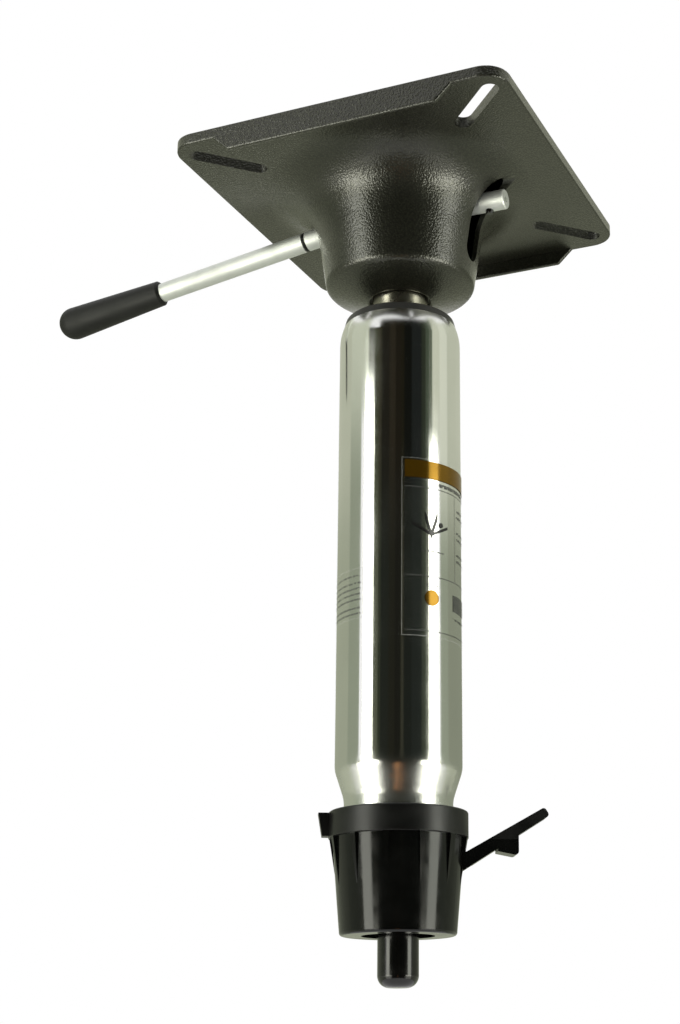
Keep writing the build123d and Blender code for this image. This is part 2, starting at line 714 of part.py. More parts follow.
def valve_body():
    """Valve block in the cylinder's head, bored for the button."""
    outer = neck_radius(CYLINDER_TOP) - CYLINDER_WALL - RUNNING
    bore = BUTTON_DIA / 2 + SLIP
    return turned(
        [
            (0, VALVE_BOTTOM),
            (outer, VALVE_BOTTOM),
            (outer, VALVE_TOP),
            (bore, VALVE_TOP),
            (bore, VALVE_BOTTOM + VALVE_FLOOR),
            (0, VALVE_BOTTOM + VALVE_FLOOR),
        ]
    )


def bell_centre():
    """Centre of the bell's arc in its section, as (radius, level)."""
    return BELL_MOUTH_RADIUS, PLATE_UNDERSIDE - BELL_RADIUS


def bell_radius_at(level, thickness):
    """Radius of the bell's outside (thickness 0) or inside at a level within its arc."""
    centre_radius, centre_level = bell_centre()
    arc = BELL_RADIUS + thickness
    return centre_radius - math.sqrt(arc**2 - (level - centre_level) ** 2)


PIVOT_X = -(bell_radius_at(PIVOT_LEVEL, 0) + bell_radius_at(PIVOT_LEVEL, PLATE_THICK)) / 2


def handle_bend():
    """Place of the rod's bend inside the cup, as (x, level)."""
    rise = BEND_FROM_PIVOT * math.tan(math.radians(HANDLE_DROOP_DEG))
    return PIVOT_X + BEND_FROM_PIVOT, PIVOT_LEVEL + rise


def tail_level(x):
    """Level of the rod's axis at x, inside the cup and at the tail."""
    bend_x, bend_level = handle_bend()
    return bend_level - (x - bend_x) * math.tan(math.radians(HANDLE_TAIL_DROOP_DEG))


def valve_button():
    """Button of the gas valve, just under the handle's rod, with a crowned head."""
    radius = BUTTON_DIA / 2
    top = tail_level(0) - HANDLE_ROD_RADIUS - STOP_GAP
    crown = (radius**2 + BUTTON_CROWN**2) / (2 * BUTTON_CROWN)
    crown_start = math.degrees(math.acos(radius / crown))
    edges = [
        Line((0, top - BUTTON_STEM), (radius, top - BUTTON_STEM)),
        Line((radius, top - BUTTON_STEM), (radius, top - BUTTON_CROWN)),
        CenterArc((0, top - crown), crown, crown_start, 90 - crown_start),
        Line((0, top), (0, top - BUTTON_STEM)),
    ]
    return revolve(Plane.XZ * make_face(edges), Axis.Z)


def cup_section():
    """Section of the cup and its bell: outside points, tangent point and the same for the inside."""
    centre_radius, centre_level = bell_centre()
    dish = math.atan2(CUP_DISH, CUP_EDGE_CORNER - CUP_HOLE_RADIUS)
    reach = math.hypot(centre_radius - CUP_EDGE_CORNER, centre_level - CUP_EDGE_LEVEL)
    bearing = math.atan2(centre_level - CUP_EDGE_LEVEL, centre_radius - CUP_EDGE_CORNER)
    wall = bearing + math.asin(BELL_RADIUS / reach)
    normal = (-math.sin(wall), math.cos(wall))
    touch = [
        (centre_radius + normal[0] * arc, centre_level + normal[1] * arc)
        for arc in (BELL_RADIUS, BELL_RADIUS + PLATE_THICK)
    ]
    half_turn = (wall + dish) / 2
    corner_shift = PLATE_THICK / math.cos((wall - dish) / 2)
    inner_corner = (
        CUP_EDGE_CORNER + corner_shift * math.cos(half_turn + math.pi / 2),
        CUP_EDGE_LEVEL + corner_shift * math.sin(half_turn + math.pi / 2),
    )
    return dish, touch[0], touch[1], inner_corner


def cup_floor_level(radius):
    """Level of the cup's inside floor at a radius."""
    dish = cup_section()[0]
    return CUP_HOLE_LEVEL + PLATE_THICK / math.cos(dish) + (radius - CUP_HOLE_RADIUS) * math.tan(dish)


def cup_shell():
    """The drawn cup with its dished floor, and the bell that joins it to the plate."""
    outer_touch, inner_touch, inner_corner = cup_section()[1:]
    centre = bell_centre()
    mouth = BELL_MOUTH_RADIUS
    start = math.degrees(math.atan2(outer_touch[1] - centre[1], outer_touch[0] - centre[0]))
    sweep_deg = 90.0 - start
    outer_arc = CenterArc(centre, BELL_RADIUS, start, sweep_deg)
    inner_arc = CenterArc(centre, BELL_RADIUS + PLATE_THICK, start, sweep_deg)
    edges = [
        Line((CUP_HOLE_RADIUS, CUP_HOLE_LEVEL), (CUP_EDGE_CORNER, CUP_EDGE_LEVEL)),
        Line((CUP_EDGE_CORNER, CUP_EDGE_LEVEL), outer_touch),
        outer_arc,
        Line((mouth, PLATE_UNDERSIDE), (mouth, COVER_BOTTOM)),
        inner_arc,
        Line(inner_touch, inner_corner),
        Line(inner_corner, (CUP_HOLE_RADIUS, cup_floor_level(CUP_HOLE_RADIUS))),
        Line((CUP_HOLE_RADIUS, cup_floor_level(CUP_HOLE_RADIUS)), (CUP_HOLE_RADIUS, CUP_HOLE_LEVEL)),
    ]
    face = Plane.XZ * make_face(edges)
    for corner, size in (
        ((CUP_EDGE_CORNER, CUP_EDGE_LEVEL), CUP_EDGE_ROUND),
        (inner_corner, CUP_EDGE_ROUND - PLATE_THICK),
        ((CUP_HOLE_RADIUS, CUP_HOLE_LEVEL), PLATE_THICK / 3),
    ):
        vertex = face.vertices().sort_by_distance(Vector(corner[0], 0, corner[1]))[0]
        face = fillet(vertex, size)
    return revolve(face, Axis.Z)


def plate_outline():
    """Rounded outline of the plate, a little off the post's axis."""
    return Pos(PLATE_SHIFT, 0, 0) * RectangleRounded(PLATE_LENGTH, PLATE_SIDE, PLATE_CORNER_RADIUS)


def flange():
    """One deep flange with sloping ends, upright on the XZ plane."""
    bottom = PLATE_TOP - FLANGE_DEPTH
    run_out = FLANGE_CHAMFER * (COVER_BOTTOM - bottom) / (PLATE_UNDERSIDE - bottom)
    half_top = FLANGE_HALF_LENGTH + run_out
    points = [
        (-half_top, COVER_BOTTOM),
        (-FLANGE_HALF_LENGTH, bottom),
        (FLANGE_HALF_LENGTH, bottom),
        (half_top, COVER_BOTTOM),
    ]
    face = make_face(Plane.XZ * Polyline(*points, close=True))
    for end in (-1, 1):
        corner = Vector(end * FLANGE_HALF_LENGTH, 0, bottom)
        face = fillet(face.vertices().sort_by_distance(corner)[0], FLANGE_CORNER_RADIUS)
    solid = extrude(face, amount=PLATE_THICK / 2, both=True)
    long_edges = [e for e in solid.edges() if abs(e.tangent_at(0).Y) < 0.5 and e.center().Z < PLATE_UNDERSIDE]
    return fillet(long_edges, PLATE_EDGE_ROUND)


def flanged_sheet():
    """The flat of the pressing with its two deep flanges."""
    sheet = extrude(Pos(0, 0, PLATE_UNDERSIDE) * plate_outline(), amount=PLATE_THICK)
    sheet = fillet(sheet.edges().group_by(Axis.Z)[0], PLATE_EDGE_ROUND)
    for side in (-1, 1):
        sheet += Pos(PLATE_SHIFT, side * (PLATE_SIDE - PLATE_THICK) / 2, 0) * flange()
    return sheet


def bolt_slots():
    """The four diagonal slots, through both sheets."""
    reach = math.sqrt(2) * (min(PLATE_LENGTH, PLATE_SIDE) / 2 - BOLT_SLOT_INSET)
    slots = []
    for azimuth in (45, 135, 225, 315):
        slot = extrude(SlotOverall(BOLT_SLOT_LENGTH, BOLT_SLOT_WIDTH), amount=2 * FLANGE_DEPTH, both=True)
        slots.append(Pos(PLATE_SHIFT, 0, PLATE_TOP) * Rot(0, 0, azimuth) * Pos(reach, 0, 0) * slot)
    return slots


def cover_plate():
    """Flat sheet on top of the pressing, closing the cup, with the same slots."""
    cover = extrude(Pos(0, 0, COVER_BOTTOM) * plate_outline(), amount=COVER_THICK)
    cover = fillet(cover.edges().group_by(Axis.Z)[-1], COVER_EDGE_ROUND)
    return cover - bolt_slots()


def handle_axis():
    """Frame at the pivot whose Z runs out along the handle."""
    droop = math.radians(HANDLE_DROOP_DEG)
    return Plane(
        origin=(PIVOT_X, 0, PIVOT_LEVEL), x_dir=(0, 1, 0), z_dir=(-math.cos(droop), 0, -math.sin(droop))
    )


def seat_plate():
    """One pressing: flat, flanges, bolt slots, bell, cup, pivot hole and cut-out for the rod's tail."""
    plate = flanged_sheet() - Pos(0, 0, PLATE_TOP) * Cylinder(BELL_MOUTH_RADIUS, 4 * PLATE_THICK + COVER_THICK)
    plate += cup_shell()
    plate -= bolt_slots()
    hole = HANDLE_ROD_RADIUS + PIVOT_HOLE_GAP
    plate -= handle_axis() * Cylinder(hole, 2 * BEND_FROM_PIVOT)
    cutout_level = PLATE_TOP - CUTOUT_BELOW_TOP
    cutout = Plane.YZ * SlotOverall(CUTOUT_HEIGHT, CUTOUT_WIDTH, rotation=90)
    inner_reach = CUP_EDGE_CORNER - 3 * PLATE_THICK
    plate -= Pos(inner_reach, 0, cutout_level) * extrude(cutout, amount=BELL_MOUTH_RADIUS - CUP_EDGE_CORNER)
    return plate


def taper_hub():
    """Steel hub welded to the cup's floor, with the taper that grips the cylinder's head."""
    bottom_radius = CUP_HOLE_RADIUS
    outer = CYLINDER_RADIUS + HUB_WALL
    foot = CYLINDER_RADIUS + HUB_FOOT_WALL
    bottom = cup_floor_level(bottom_radius)
    top = bottom + HUB_HEIGHT
    foot_top = cup_floor_level(foot) + HUB_FOOT_HEIGHT - CUP_DISH / 3
    return turned(
        [
            (bottom_radius, bottom),
            (foot, cup_floor_level(foot)),
            (foot, foot_top),
            (outer, foot_top),
            (outer, top),
            (neck_radius(top) + RUNNING, top),
            (neck_radius(bottom) + RUNNING, bottom),
        ]
    )


def handle_rod():
    """Bent aluminium rod from the grip, through the cup, to the tail in the cut-out."""
    radius = HANDLE_ROD_RADIUS
    bend_x, bend_level = handle_bend()
    droop = math.radians(HANDLE_DROOP_DEG)
    reach = GRIP_FROM_PIVOT + GRIP_LENGTH - GRIP_WALL_AT_TIP
    start = (PIVOT_X - reach * math.cos(droop), 0, PIVOT_LEVEL - reach * math.sin(droop))
    end = (TAIL_FROM_AXIS, 0, tail_level(TAIL_FROM_AXIS))
    path = FilletPolyline(start, (bend_x, 0, bend_level), end, radius=BEND_RADIUS)
    rod = sweep(Plane(origin=path @ 0, z_dir=path % 0) * Circle(radius), path=path)
    rod = chamfer(rod.edges().sort_by(Axis.X)[-1], ROD_CHAMFER)
    tail = Plane(origin=end, z_dir=path % 1)
    rod -= tail * Cylinder(TAIL_DIMPLE_DIA / 2, TAIL_DIMPLE_DIA)
    groove = Cylinder(2 * radius, RING_GROOVE_WIDTH) - Cylinder(radius - RING_WIRE_DIA, RING_GROOVE_WIDTH)
    rod -= handle_axis() * Pos(0, 0, RING_FROM_PIVOT) * groove
    pin_hole = Cylinder(TAIL_PIN_DIA / 2 + SLIP, 4 * radius)
    rod -= Pos(TAIL_PIN_FROM_AXIS, 0, tail_level(TAIL_PIN_FROM_AXIS)) * pin_hole
    return rod


def handle_ring():
    """Ring in the rod's groove just outside the cup, flush with the rod."""
    wire = RING_WIRE_DIA / 2
    return handle_axis() * Pos(0, 0, RING_FROM_PIVOT) * Torus(HANDLE_ROD_RADIUS - wire, wire - RUNNING)


def tail_pin():
    """Plain pin across the rod's tail, its lower end standing out a little."""
    radius = TAIL_PIN_DIA / 2
    level = tail_level(TAIL_PIN_FROM_AXIS)
    bottom = level - HANDLE_ROD_RADIUS - TAIL_PIN_DROP
    top = level + HANDLE_ROD_RADIUS - TAIL_PIN_EDGE
    pin = Pos(0, 0, (top + bottom) / 2) * Cylinder(radius, top - bottom)
    pin = chamfer(pin.edges().sort_by(Axis.Z)[0], TAIL_PIN_EDGE)
    return Pos(TAIL_PIN_FROM_AXIS, 0, 0) * pin


def handle_grip():
    """Moulded rubber grip, widening to a round end, blind on the rod."""
    bore = HANDLE_ROD_RADIUS + SLIP
    small = GRIP_DIA / 2
    large = GRIP_END_DIA / 2
    end_start = GRIP_LENGTH - large
    edge = 1.2
    edges = [
        Line((bore, 0), (small - edge, 0)),
        Line((small - edge, 0), (small, edge)),
        Line((small, edge), (large, end_start)),
        CenterArc((0, end_start), large, 0, 90),
        Line((0, GRIP_LENGTH), (0, GRIP_LENGTH - GRIP_WALL_AT_TIP)),
        Line((0, GRIP_LENGTH - GRIP_WALL_AT_TIP), (bore, GRIP_LENGTH - GRIP_WALL_AT_TIP)),
        Line((bore, GRIP_LENGTH - GRIP_WALL_AT_TIP), (bore, 0)),
    ]
    grip = revolve(Plane.XZ * make_face(edges), Axis.Z)
    return handle_axis() * Pos(0, 0, GRIP_FROM_PIVOT) * grip


def label(first_deg, span_deg, below_mouth, height):
    """Film label wrapped part of the way round the tube."""
    top = TUBE_TOP - below_mouth
    inner = TUBE_RADIUS + LABEL_LIFT
    points = [(inner, top - height), (inner + LABEL_THICK, top - height), (inner + LABEL_THICK, top), (inner, top)]
    face = make_face(Plane.XZ * Polyline(*points, close=True))
    return Rot(0, 0, first_deg) * revolve(face, Axis.Z, revolution_arc=span_deg)


def main_label():
    """Tall clear label on the front of the post."""
    return label(MAIN_LABEL_FIRST_DEG, MAIN_LABEL_SPAN_DEG, MAIN_LABEL_BELOW_MOUTH, MAIN_LABEL_HEIGHT)


def side_label():
    """Small label on the side of the post."""
    return label(SIDE_LABEL_FIRST_DEG, SIDE_LABEL_SPAN_DEG, SIDE_LABEL_BELOW_MOUTH, SIDE_LABEL_HEIGHT)


PIECES = {
    "post_tube": post_tube,
    "top_cap": top_cap,
    "guide_bushing": guide_bushing,
    "taper_plug": taper_plug,
    "centre_pin": centre_pin,
    "end_block": end_block,
    "rod_seat": rod_seat,
    "rod_clip": rod_clip,
    "bearing_washer_lower": bearing_washer_lower,
    "bearing_balls": bearing_balls,
    "bearing_cage": bearing_cage,
    "bearing_washer_upper": bearing_washer_upper,
    "bump_stop": bump_stop,
    "piston_rod": piston_rod,
    "rebound_spacer": rebound_spacer,
    "piston": piston,
    "piston_seal": piston_seal,
    "rod_guide": rod_guide,
    "gas_cylinder": gas_cylinder,
    "valve_body": valve_body,
    "valve_button": valve_button,
    "taper_hub": taper_hub,
    "seat_plate": seat_plate,
    "cover_plate": cover_plate,
    "handle_rod": handle_rod,
    "handle_ring": handle_ring,
    "tail_pin": tail_pin,
    "handle_grip": handle_grip,
    "lock_lever": lock_lever,
    "lever_pin": lever_pin,
    "lever_spring": lever_spring,
    "main_label": main_label,
    "side_label": side_label,
}

os.makedirs("parts", exist_ok=True)
for name, make in PIECES.items():
    export_step(make(), f"parts/{name}.step")
print("pivot", round(PIVOT_X, 3), round(PIVOT_LEVEL, 3))
print("levels", round(CUP_HOLE_LEVEL, 3), round(PLATE_TOP, 3), round(CYLINDER_TOP, 3))
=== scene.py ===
import math

import bpy
from bpy.props import FloatProperty, FloatVectorProperty, PointerProperty
from mathutils import Matrix, Vector

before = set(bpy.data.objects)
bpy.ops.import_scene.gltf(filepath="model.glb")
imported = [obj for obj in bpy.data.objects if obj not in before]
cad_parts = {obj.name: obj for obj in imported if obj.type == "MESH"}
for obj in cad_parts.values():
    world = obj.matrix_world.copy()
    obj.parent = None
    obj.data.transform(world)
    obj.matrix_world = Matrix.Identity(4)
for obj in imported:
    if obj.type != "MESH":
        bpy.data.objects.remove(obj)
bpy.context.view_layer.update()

bl_info = {
    "name": "Boat Seat Pedestal",
    "version": (1, 0, 0),
    "blender": (4, 5, 0),
    "location": "View3D > Sidebar > Pedestal",
    "description": "Finishes for a gas-lift boat seat pedestal and the studio it stands in",
    "category": "Object",
}

MM = 0.001

# Levels on the post, in metres
SWAGE_LOW = 70 * MM
SWAGE_HIGH = 83 * MM
SHOULDER_LOW = 288 * MM
SHOULDER_HIGH = 294 * MM
RIM_LOW = 44.4 * MM
RIM_STEP = 0.3 * MM
POST_RADIUS = 30.15 * MM

# How much rougher the swage, the shoulder and the plug's rim are
SWAGE_ROUGHER = 0.17
SHOULDER_ROUGHER = 0.13
RIM_ROUGHER = 0.22

# The photograph's camera, in the part's frame
CAMERA_PLACE = (0.3216, -0.7223, -0.0610)
CAMERA_HEADING_DEG = -21.88
CAMERA_PITCH_DEG = 15.19
CAMERA_ROLL_DEG = -0.37
CAMERA_LENS_MM = 59.81
CAMERA_SENSOR_MM = 36.0
CAMERA_SHIFT_X = -0.1172
CAMERA_SHIFT_Y = 0.0977
CAMERA_SIDE_DEG = -66.0

# The labels' print: angles in degrees about the post, levels and widths in millimetres.
# A film or a field is its first and last angle and its lower and upper level.
MAIN_FILM = (-64.2, 41.8, 134.8, 222.0)
MAIN_ORANGE = (-61.5, 39.1, 212.2, 220.9)
MAIN_DOT = (-35.6, 153.5, 3.8)  # angle, level, radius
MAIN_RULES = (
    (-60.5, 38.1, 207.3, 207.7),
    (-60.5, 38.1, 163.7, 164.1),
    (-60.5, 38.1, 137.2, 137.6),
    (-5.4, -4.8, 163.9, 207.5),
)
MAIN_WORDS = (
    (-28.0, 36.0, 209.0, 210.6),
    (-1.0, 14.0, 200.0, 200.9),
    (-1.0, 28.0, 196.9, 197.8),
    (-1.0, 22.0, 188.9, 189.8),
    (-1.0, 30.0, 185.8, 186.7),
    (-1.0, 18.0, 177.8, 178.7),
    (-1.0, 26.0, 174.7, 175.6),
    (-46.0, -22.0, 176.0, 176.5),
    (-42.0, -29.0, 159.4, 160.0),
    (-10.0, 16.0, 145.2, 146.1),
)
MAIN_BLOCK = (-9.0, 24.0, 149.5, 157.5)
MAIN_CHEVRONS = ((-36.0, 184.5, 0.5, 9.8), (-36.0, 184.5, 2.8, 3.4))  # angle, tip, slope, half width
MAIN_SPOT = (-25.5, 190.0, 1.2)
SIDE_FILM = (-162.0, -100.2, 144.5, 168.8)
SIDE_LINES = (146.4, 149.1, 153.2, 155.9, 158.6, 161.3, 164.9)
SIDE_WORDS = tuple((-158.0, -103.0, level, level + 0.8) for level in SIDE_LINES)
FILM_EDGE = 0.25

# How dark each kind of print is
RULE_INK = 0.4
BLOCK_INK = 0.55
WORD_INK = 0.6
SIDE_WORD_INK = 0.35

# How far each part of a film hides what is behind it, and how metallic its orange is
EDGE_COVER = 0.1
INK_COVER = 0.93
ORANGE_COVER = 0.98
ORANGE_METAL = 0.75

# What the polished post reflects. Angles are in degrees to the right of the camera, radii and heights in metres.
# A dark strip is its first and last angle, its lower and upper colour and its top.
DARK_STRIPS = (
    (-50.0, -39.0, (0.085, 0.092, 0.06), (0.045, 0.048, 0.026), 1.28),
    (-39.0, -34.0, (0.03, 0.035, 0.022), (0.035, 0.032, 0.02), 1.9),
    (-34.0, -19.0, (0.016, 0.018, 0.014), (0.014, 0.013, 0.009), 1.9),
    (-19.0, -8.0, (0.016, 0.016, 0.011), (0.024, 0.02, 0.013), 1.9),
    (-8.0, 3.0, (0.012, 0.012, 0.009), (0.013, 0.011, 0.007), 1.9),
    (3.0, 8.0, (0.038, 0.038, 0.026), (0.012, 0.011, 0.006), 1.9),
    (8.0, 22.0, (0.013, 0.015, 0.012), (0.006, 0.0065, 0.005), 1.9),
    (22.0, 41.0, (0.017, 0.02, 0.017), (0.013, 0.015, 0.014), 1.9),
    (41.0, 49.0, (0.042, 0.05, 0.034), (0.025, 0.03, 0.02), 1.9),
    (49.0, 57.0, (0.15, 0.16, 0.12), (0.06, 0.075, 0.05), 1.9),
)
CARD_RADIUS = 1.9
CARD_STEP_DEG = 3
FADE_LEVEL = 0.85
FADE_HALF = 0.12

# Cards over the floor lie at levels of their own, so that none of them coincide
CARD_LIFT = 0.004
CARD_LEVEL = -0.094
LOWER_CARD_LEVEL = -0.095

# A side card is its name, first and last angle, profile of (radius, height) and lower colour, then its upper colour
# where that differs and the height of the change where that isn't FADE_LEVEL. None is the foot of the dark cards.
SIDE_CARDS = (
    ("left upper card", -61.0, -50.0, [(1.6, 0.86), (1.6, 1.18)], (0.12, 0.13, 0.1), (0.03, 0.033, 0.024)),
    ("left high card", -76.0, -61.0, [(1.6, 0.88), (1.6, 1.9)], (0.5, 0.53, 0.42), (0.55, 0.58, 0.46)),
    ("right upper card", 57.0, 63.0, [(1.6, 0.78), (1.6, 1.9)], (0.2, 0.22, 0.16), (0.11, 0.13, 0.09)),
    ("right high card", 63.0, 80.0, [(1.6, 0.82), (1.6, 1.9)], (0.6, 0.62, 0.5), (0.58, 0.6, 0.48)),
    ("left near card", -104.0, -76.0, [(1.95, None), (1.95, 1.9)], (0.29, 0.32, 0.24), (0.57, 0.6, 0.48), 1.0),
    ("left far card", -165.0, -104.0, [(1.95, None), (1.95, 1.9)], (0.36, 0.385, 0.29), (0.5, 0.52, 0.41)),
    ("right near card", 80.0, 100.0, [(1.95, None), (1.95, 1.9)], (0.3, 0.33, 0.25), (0.68, 0.7, 0.58)),
    ("right far card", 100.0, 165.0, [(1.95, None), (1.95, 1.9)], (0.26, 0.28, 0.21), (0.53, 0.55, 0.44)),
    ("far floor card", 95.0, 265.0, [(0.35, None), (1.9, None)], (0.45, 0.475, 0.36)),
    ("far low card", 165.0, 195.0, [(1.95, None), (1.95, 0.35)], (0.45, 0.475, 0.36)),
    ("left floor card", -165.0, -71.0, [(0.14, CARD_LEVEL), (0.5, CARD_LEVEL)], (0.42, 0.45, 0.35)),
    ("right floor card", 78.0, 165.0, [(0.14, CARD_LEVEL), (0.5, CARD_LEVEL)], (0.42, 0.45, 0.35)),
    ("left near floor card", -71.0, -38.0, [(0.14, CARD_LEVEL), (0.6, CARD_LEVEL)], (1.5, 1.5, 1.36)),
    ("right near floor card", 43.0, 78.0, [(0.14, CARD_LEVEL), (0.6, CARD_LEVEL)], (1.5, 1.5, 1.36)),
    ("left bright floor card", -75.0, -38.0, [(0.6, CARD_LEVEL), (1.0, CARD_LEVEL)], (9.0, 9.0, 7.8)),
    ("right bright floor card", 43.0, 76.0, [(0.6, CARD_LEVEL), (1.0, CARD_LEVEL)], (9.0, 9.0, 7.8)),
    ("left light on floor", -67.5, -48.5, [(1.0, CARD_LEVEL), (1.5, CARD_LEVEL)], (4.0, 4.0, 3.6)),
    ("right light on floor", 55.0, 75.0, [(1.0, CARD_LEVEL), (1.5, CARD_LEVEL)], (3.5, 3.5, 3.1)),
    ("left grey floor card", -95.0, -38.0, [(1.0, LOWER_CARD_LEVEL), (1.9, LOWER_CARD_LEVEL)], (0.25, 0.27, 0.2)),
    ("right grey floor card", 43.0, 95.0, [(1.0, LOWER_CARD_LEVEL), (1.9, LOWER_CARD_LEVEL)], (0.25, 0.27, 0.2)),
    ("left light foot", -67.6, -48.4, [(1.5, CARD_LEVEL), (1.5, 0.2)], (4.2, 4.25, 3.75)),
    ("right light foot", 55.0, 75.0, [(1.5, CARD_LEVEL), (1.5, 0.2)], (3.9, 4.0, 3.5)),
    ("left low card", -76.0, -67.5, [(1.48, CARD_LEVEL), (1.48, 0.03)], (0.25, 0.27, 0.2)),
    ("right low card", 75.0, 80.0, [(1.48, CARD_LEVEL), (1.48, 0.03)], (0.25, 0.27, 0.2)),
)
WARM_RINGS = ((0.25, 0.275), (0.4, 0.45))
WARM_COLOUR = (2.4, 1.1, 0.45)
FLOOR_HALF = 8.0
LIGHT_COLOUR = (0.98, 1.0, 0.88)
LIGHT_DISTANCE = 1.5
# Soft lights: name, angle, width, height, height of the middle and share of the softbox power
SOFT_LIGHTS = (
    ("left soft light", -58.0, 0.5, 0.67, 0.535, 1.0),
    ("right soft light", 65.0, 0.52, 0.58, 0.49, 0.84),
)


def place(tree, kind, inputs=None, **settings):
    """Adds a node; inputs are values or the sockets that feed them."""
    node = tree.nodes.new(kind)
    for name, value in settings.items():
        setattr(node, name, value)
    for key, value in (inputs or {}).items():
        if isinstance(value, bpy.types.NodeSocket):
            tree.links.new(value, node.inputs[key])
        else:
            node.inputs[key].default_value = value
    return node


def math_node(tree, operation, *values, clamp=False):
    """Adds a Math node and returns its result."""
    node = place(tree, "ShaderNodeMath", dict(enumerate(values)), operation=operation, use_clamp=clamp)
    return node.outputs[0]


def map_range(tree, value, low, high, to_low, to_high):
    """Adds a clamped smooth Map Range and returns its result."""
    inputs = {"Value": value, "From Min": low, "From Max": high, "To Min": to_low, "To Max": to_high}
    return place(tree, "ShaderNodeMapRange", inputs, interpolation_type="SMOOTHSTEP").outputs["Result"]


def mix_colour(tree, factor, first, second):
    """Adds a colour Mix and returns its result."""
    node = place(tree, "ShaderNodeMix", {0: factor, 6: first, 7: second}, data_type="RGBA")
    return node.outputs[2]


def object_place(tree):
    """The place on the piece, in metres."""
    return place(tree, "ShaderNodeTexCoord").outputs["Object"]


def object_height(tree):
    """The height on the piece, in metres."""
    return place(tree, "ShaderNodeSeparateXYZ", {0: object_place(tree)}).outputs["Z"]


def effect(name, inputs, outputs):
    """A shader node group with named float sockets: (tree, inputs, outputs)."""
    tree = bpy.data.node_groups.new(name, "ShaderNodeTree")
    for label, default in inputs:
        socket = tree.interface.new_socket(label, in_out="INPUT", socket_type="NodeSocketFloat")
        socket.default_value = default
    for label in outputs:
        tree.interface.new_socket(label, in_out="OUTPUT", socket_type="NodeSocketFloat")
    entry = tree.nodes.new("NodeGroupInput")
    leave = tree.nodes.new("NodeGroupOutput")
    return tree, entry.outputs, leave.inputs


def use_effect(tree, name, inputs=None):
    """Places a shared effect in a material and returns its outputs."""
    return place(tree, "ShaderNodeGroup", inputs, node_tree=bpy.data.node_groups[name]).outputs


def build_hammertone():
    """Domed, slightly irregular cells of a hammertone coat."""
    tree, given, result = effect("Hammertone", [("Cells per Metre", 650.0), ("Wander", 0.3)], ["Height", "Shade"])
    spot = object_place(tree)
    drift = place(tree, "ShaderNodeTexNoise", {"Vector": spot, "Scale": given["Cells per Metre"], "Detail": 1.0})
    cell = math_node(tree, "DIVIDE", given["Wander"], given["Cells per Metre"])
    shift = place(tree, "ShaderNodeVectorMath", {0: drift.outputs["Color"], "Scale": cell}, operation="SCALE")
    moved = place(tree, "ShaderNodeVectorMath", {0: spot, 1: shift.outputs[0]}, operation="ADD")
    cells = place(
        tree,
        "ShaderNodeTexVoronoi",
        {"Vector": moved.outputs[0], "Scale": given["Cells per Metre"], "Smoothness": 0.7},
        feature="SMOOTH_F1",
    )
    wide = math_node(tree, "MULTIPLY", given["Cells per Metre"], 0.3)
    waves = place(tree, "ShaderNodeTexNoise", {"Vector": spot, "Scale": wide, "Detail": 2.0})
    dome = map_range(tree, cells.outputs["Distance"], 0.0, 0.8, 1.0, 0.0)
    height = math_node(tree, "MULTIPLY_ADD", waves.outputs["Fac"], 0.5, dome)
    tree.links.new(height, result["Height"])
    # Shade is the domes' height again: high on each cell's top and low in the troughs between cells. The seat plate
    # uses it as painted shade of the relief and for its roughness.
    tree.links.new(dome, result["Shade"])


def build_grain():
    """Fine uneven surface of a moulding or a cast skin."""
    tree, given, result = effect("Moulded Grain", [("Grains per Metre", 2500.0)], ["Height"])
    fine = place(
        tree,
        "ShaderNodeTexNoise",
        {"Vector": object_place(tree), "Scale": given["Grains per Metre"], "Detail": 3.0, "Roughness": 0.6},
    )
    tree.links.new(fine.outputs["Fac"], result["Height"])


def build_handling():
    """Broad soft marks of handling and polishing."""
    tree, given, result = effect("Handling Marks", [("Marks per Metre", 30.0)], ["Mask"])
    broad = place(
        tree,
        "ShaderNodeTexNoise",
        {"Vector": object_place(tree), "Scale": given["Marks per Metre"], "Detail": 5.0, "Distortion": 0.4},
    )
    tree.links.new(map_range(tree, broad.outputs["Fac"], 0.35, 0.7, 0.0, 1.0), result["Mask"])


def build_lines():
    """Fine lines left by drawing or turning, long in the directions whose share is small."""
    inputs = [("Lines per Metre", 1500.0), ("Share X", 1.0), ("Share Y", 1.0), ("Share Z", 0.01)]
    tree, given, result = effect("Tool Lines", inputs, ["Height"])
    shares = place(
        tree,
        "ShaderNodeCombineXYZ",
        {"X": given["Share X"], "Y": given["Share Y"], "Z": given["Share Z"]},
    )
    stretched = place(
        tree, "ShaderNodeVectorMath", {0: object_place(tree), 1: shares.outputs[0]}, operation="MULTIPLY"
    )
    lines = place(
        tree,
        "ShaderNodeTexNoise",
        {"Vector": stretched.outputs[0], "Scale": given["Lines per Metre"], "Detail": 4.0, "Roughness": 0.65},
    )
    tree.links.new(lines.outputs["Fac"], result["Height"])


def build_post_place():
    """Angle about the post in degrees and level in millimetres."""
    tree, _, result = effect("Place on Post", [], ["Angle", "Level"])
    parts = place(tree, "ShaderNodeSeparateXYZ", {0: object_place(tree)})
    turn = math_node(tree, "ARCTAN2", parts.outputs["Y"], parts.outputs["X"])
    tree.links.new(math_node(tree, "MULTIPLY", turn, 180 / math.pi), result["Angle"])
    tree.links.new(math_node(tree, "MULTIPLY", parts.outputs["Z"], 1 / MM), result["Level"])


def build_field():
    """Printed rectangle between two angles and two levels."""
    names = ["Angle", "Level", "Angle From", "Angle To", "Level From", "Level To"]
    tree, given, result = effect("Printed Field", [(name, 0.0) for name in names], ["Mask"])
    mask = math_node(tree, "GREATER_THAN", given["Angle"], given["Angle From"])
    for operation, value, limit in (
        ("LESS_THAN", "Angle", "Angle To"),
        ("GREATER_THAN", "Level", "Level From"),
        ("LESS_THAN", "Level", "Level To"),
    ):
        mask = math_node(tree, "MULTIPLY", mask, math_node(tree, operation, given[value], given[limit]))
    tree.links.new(mask, result["Mask"])


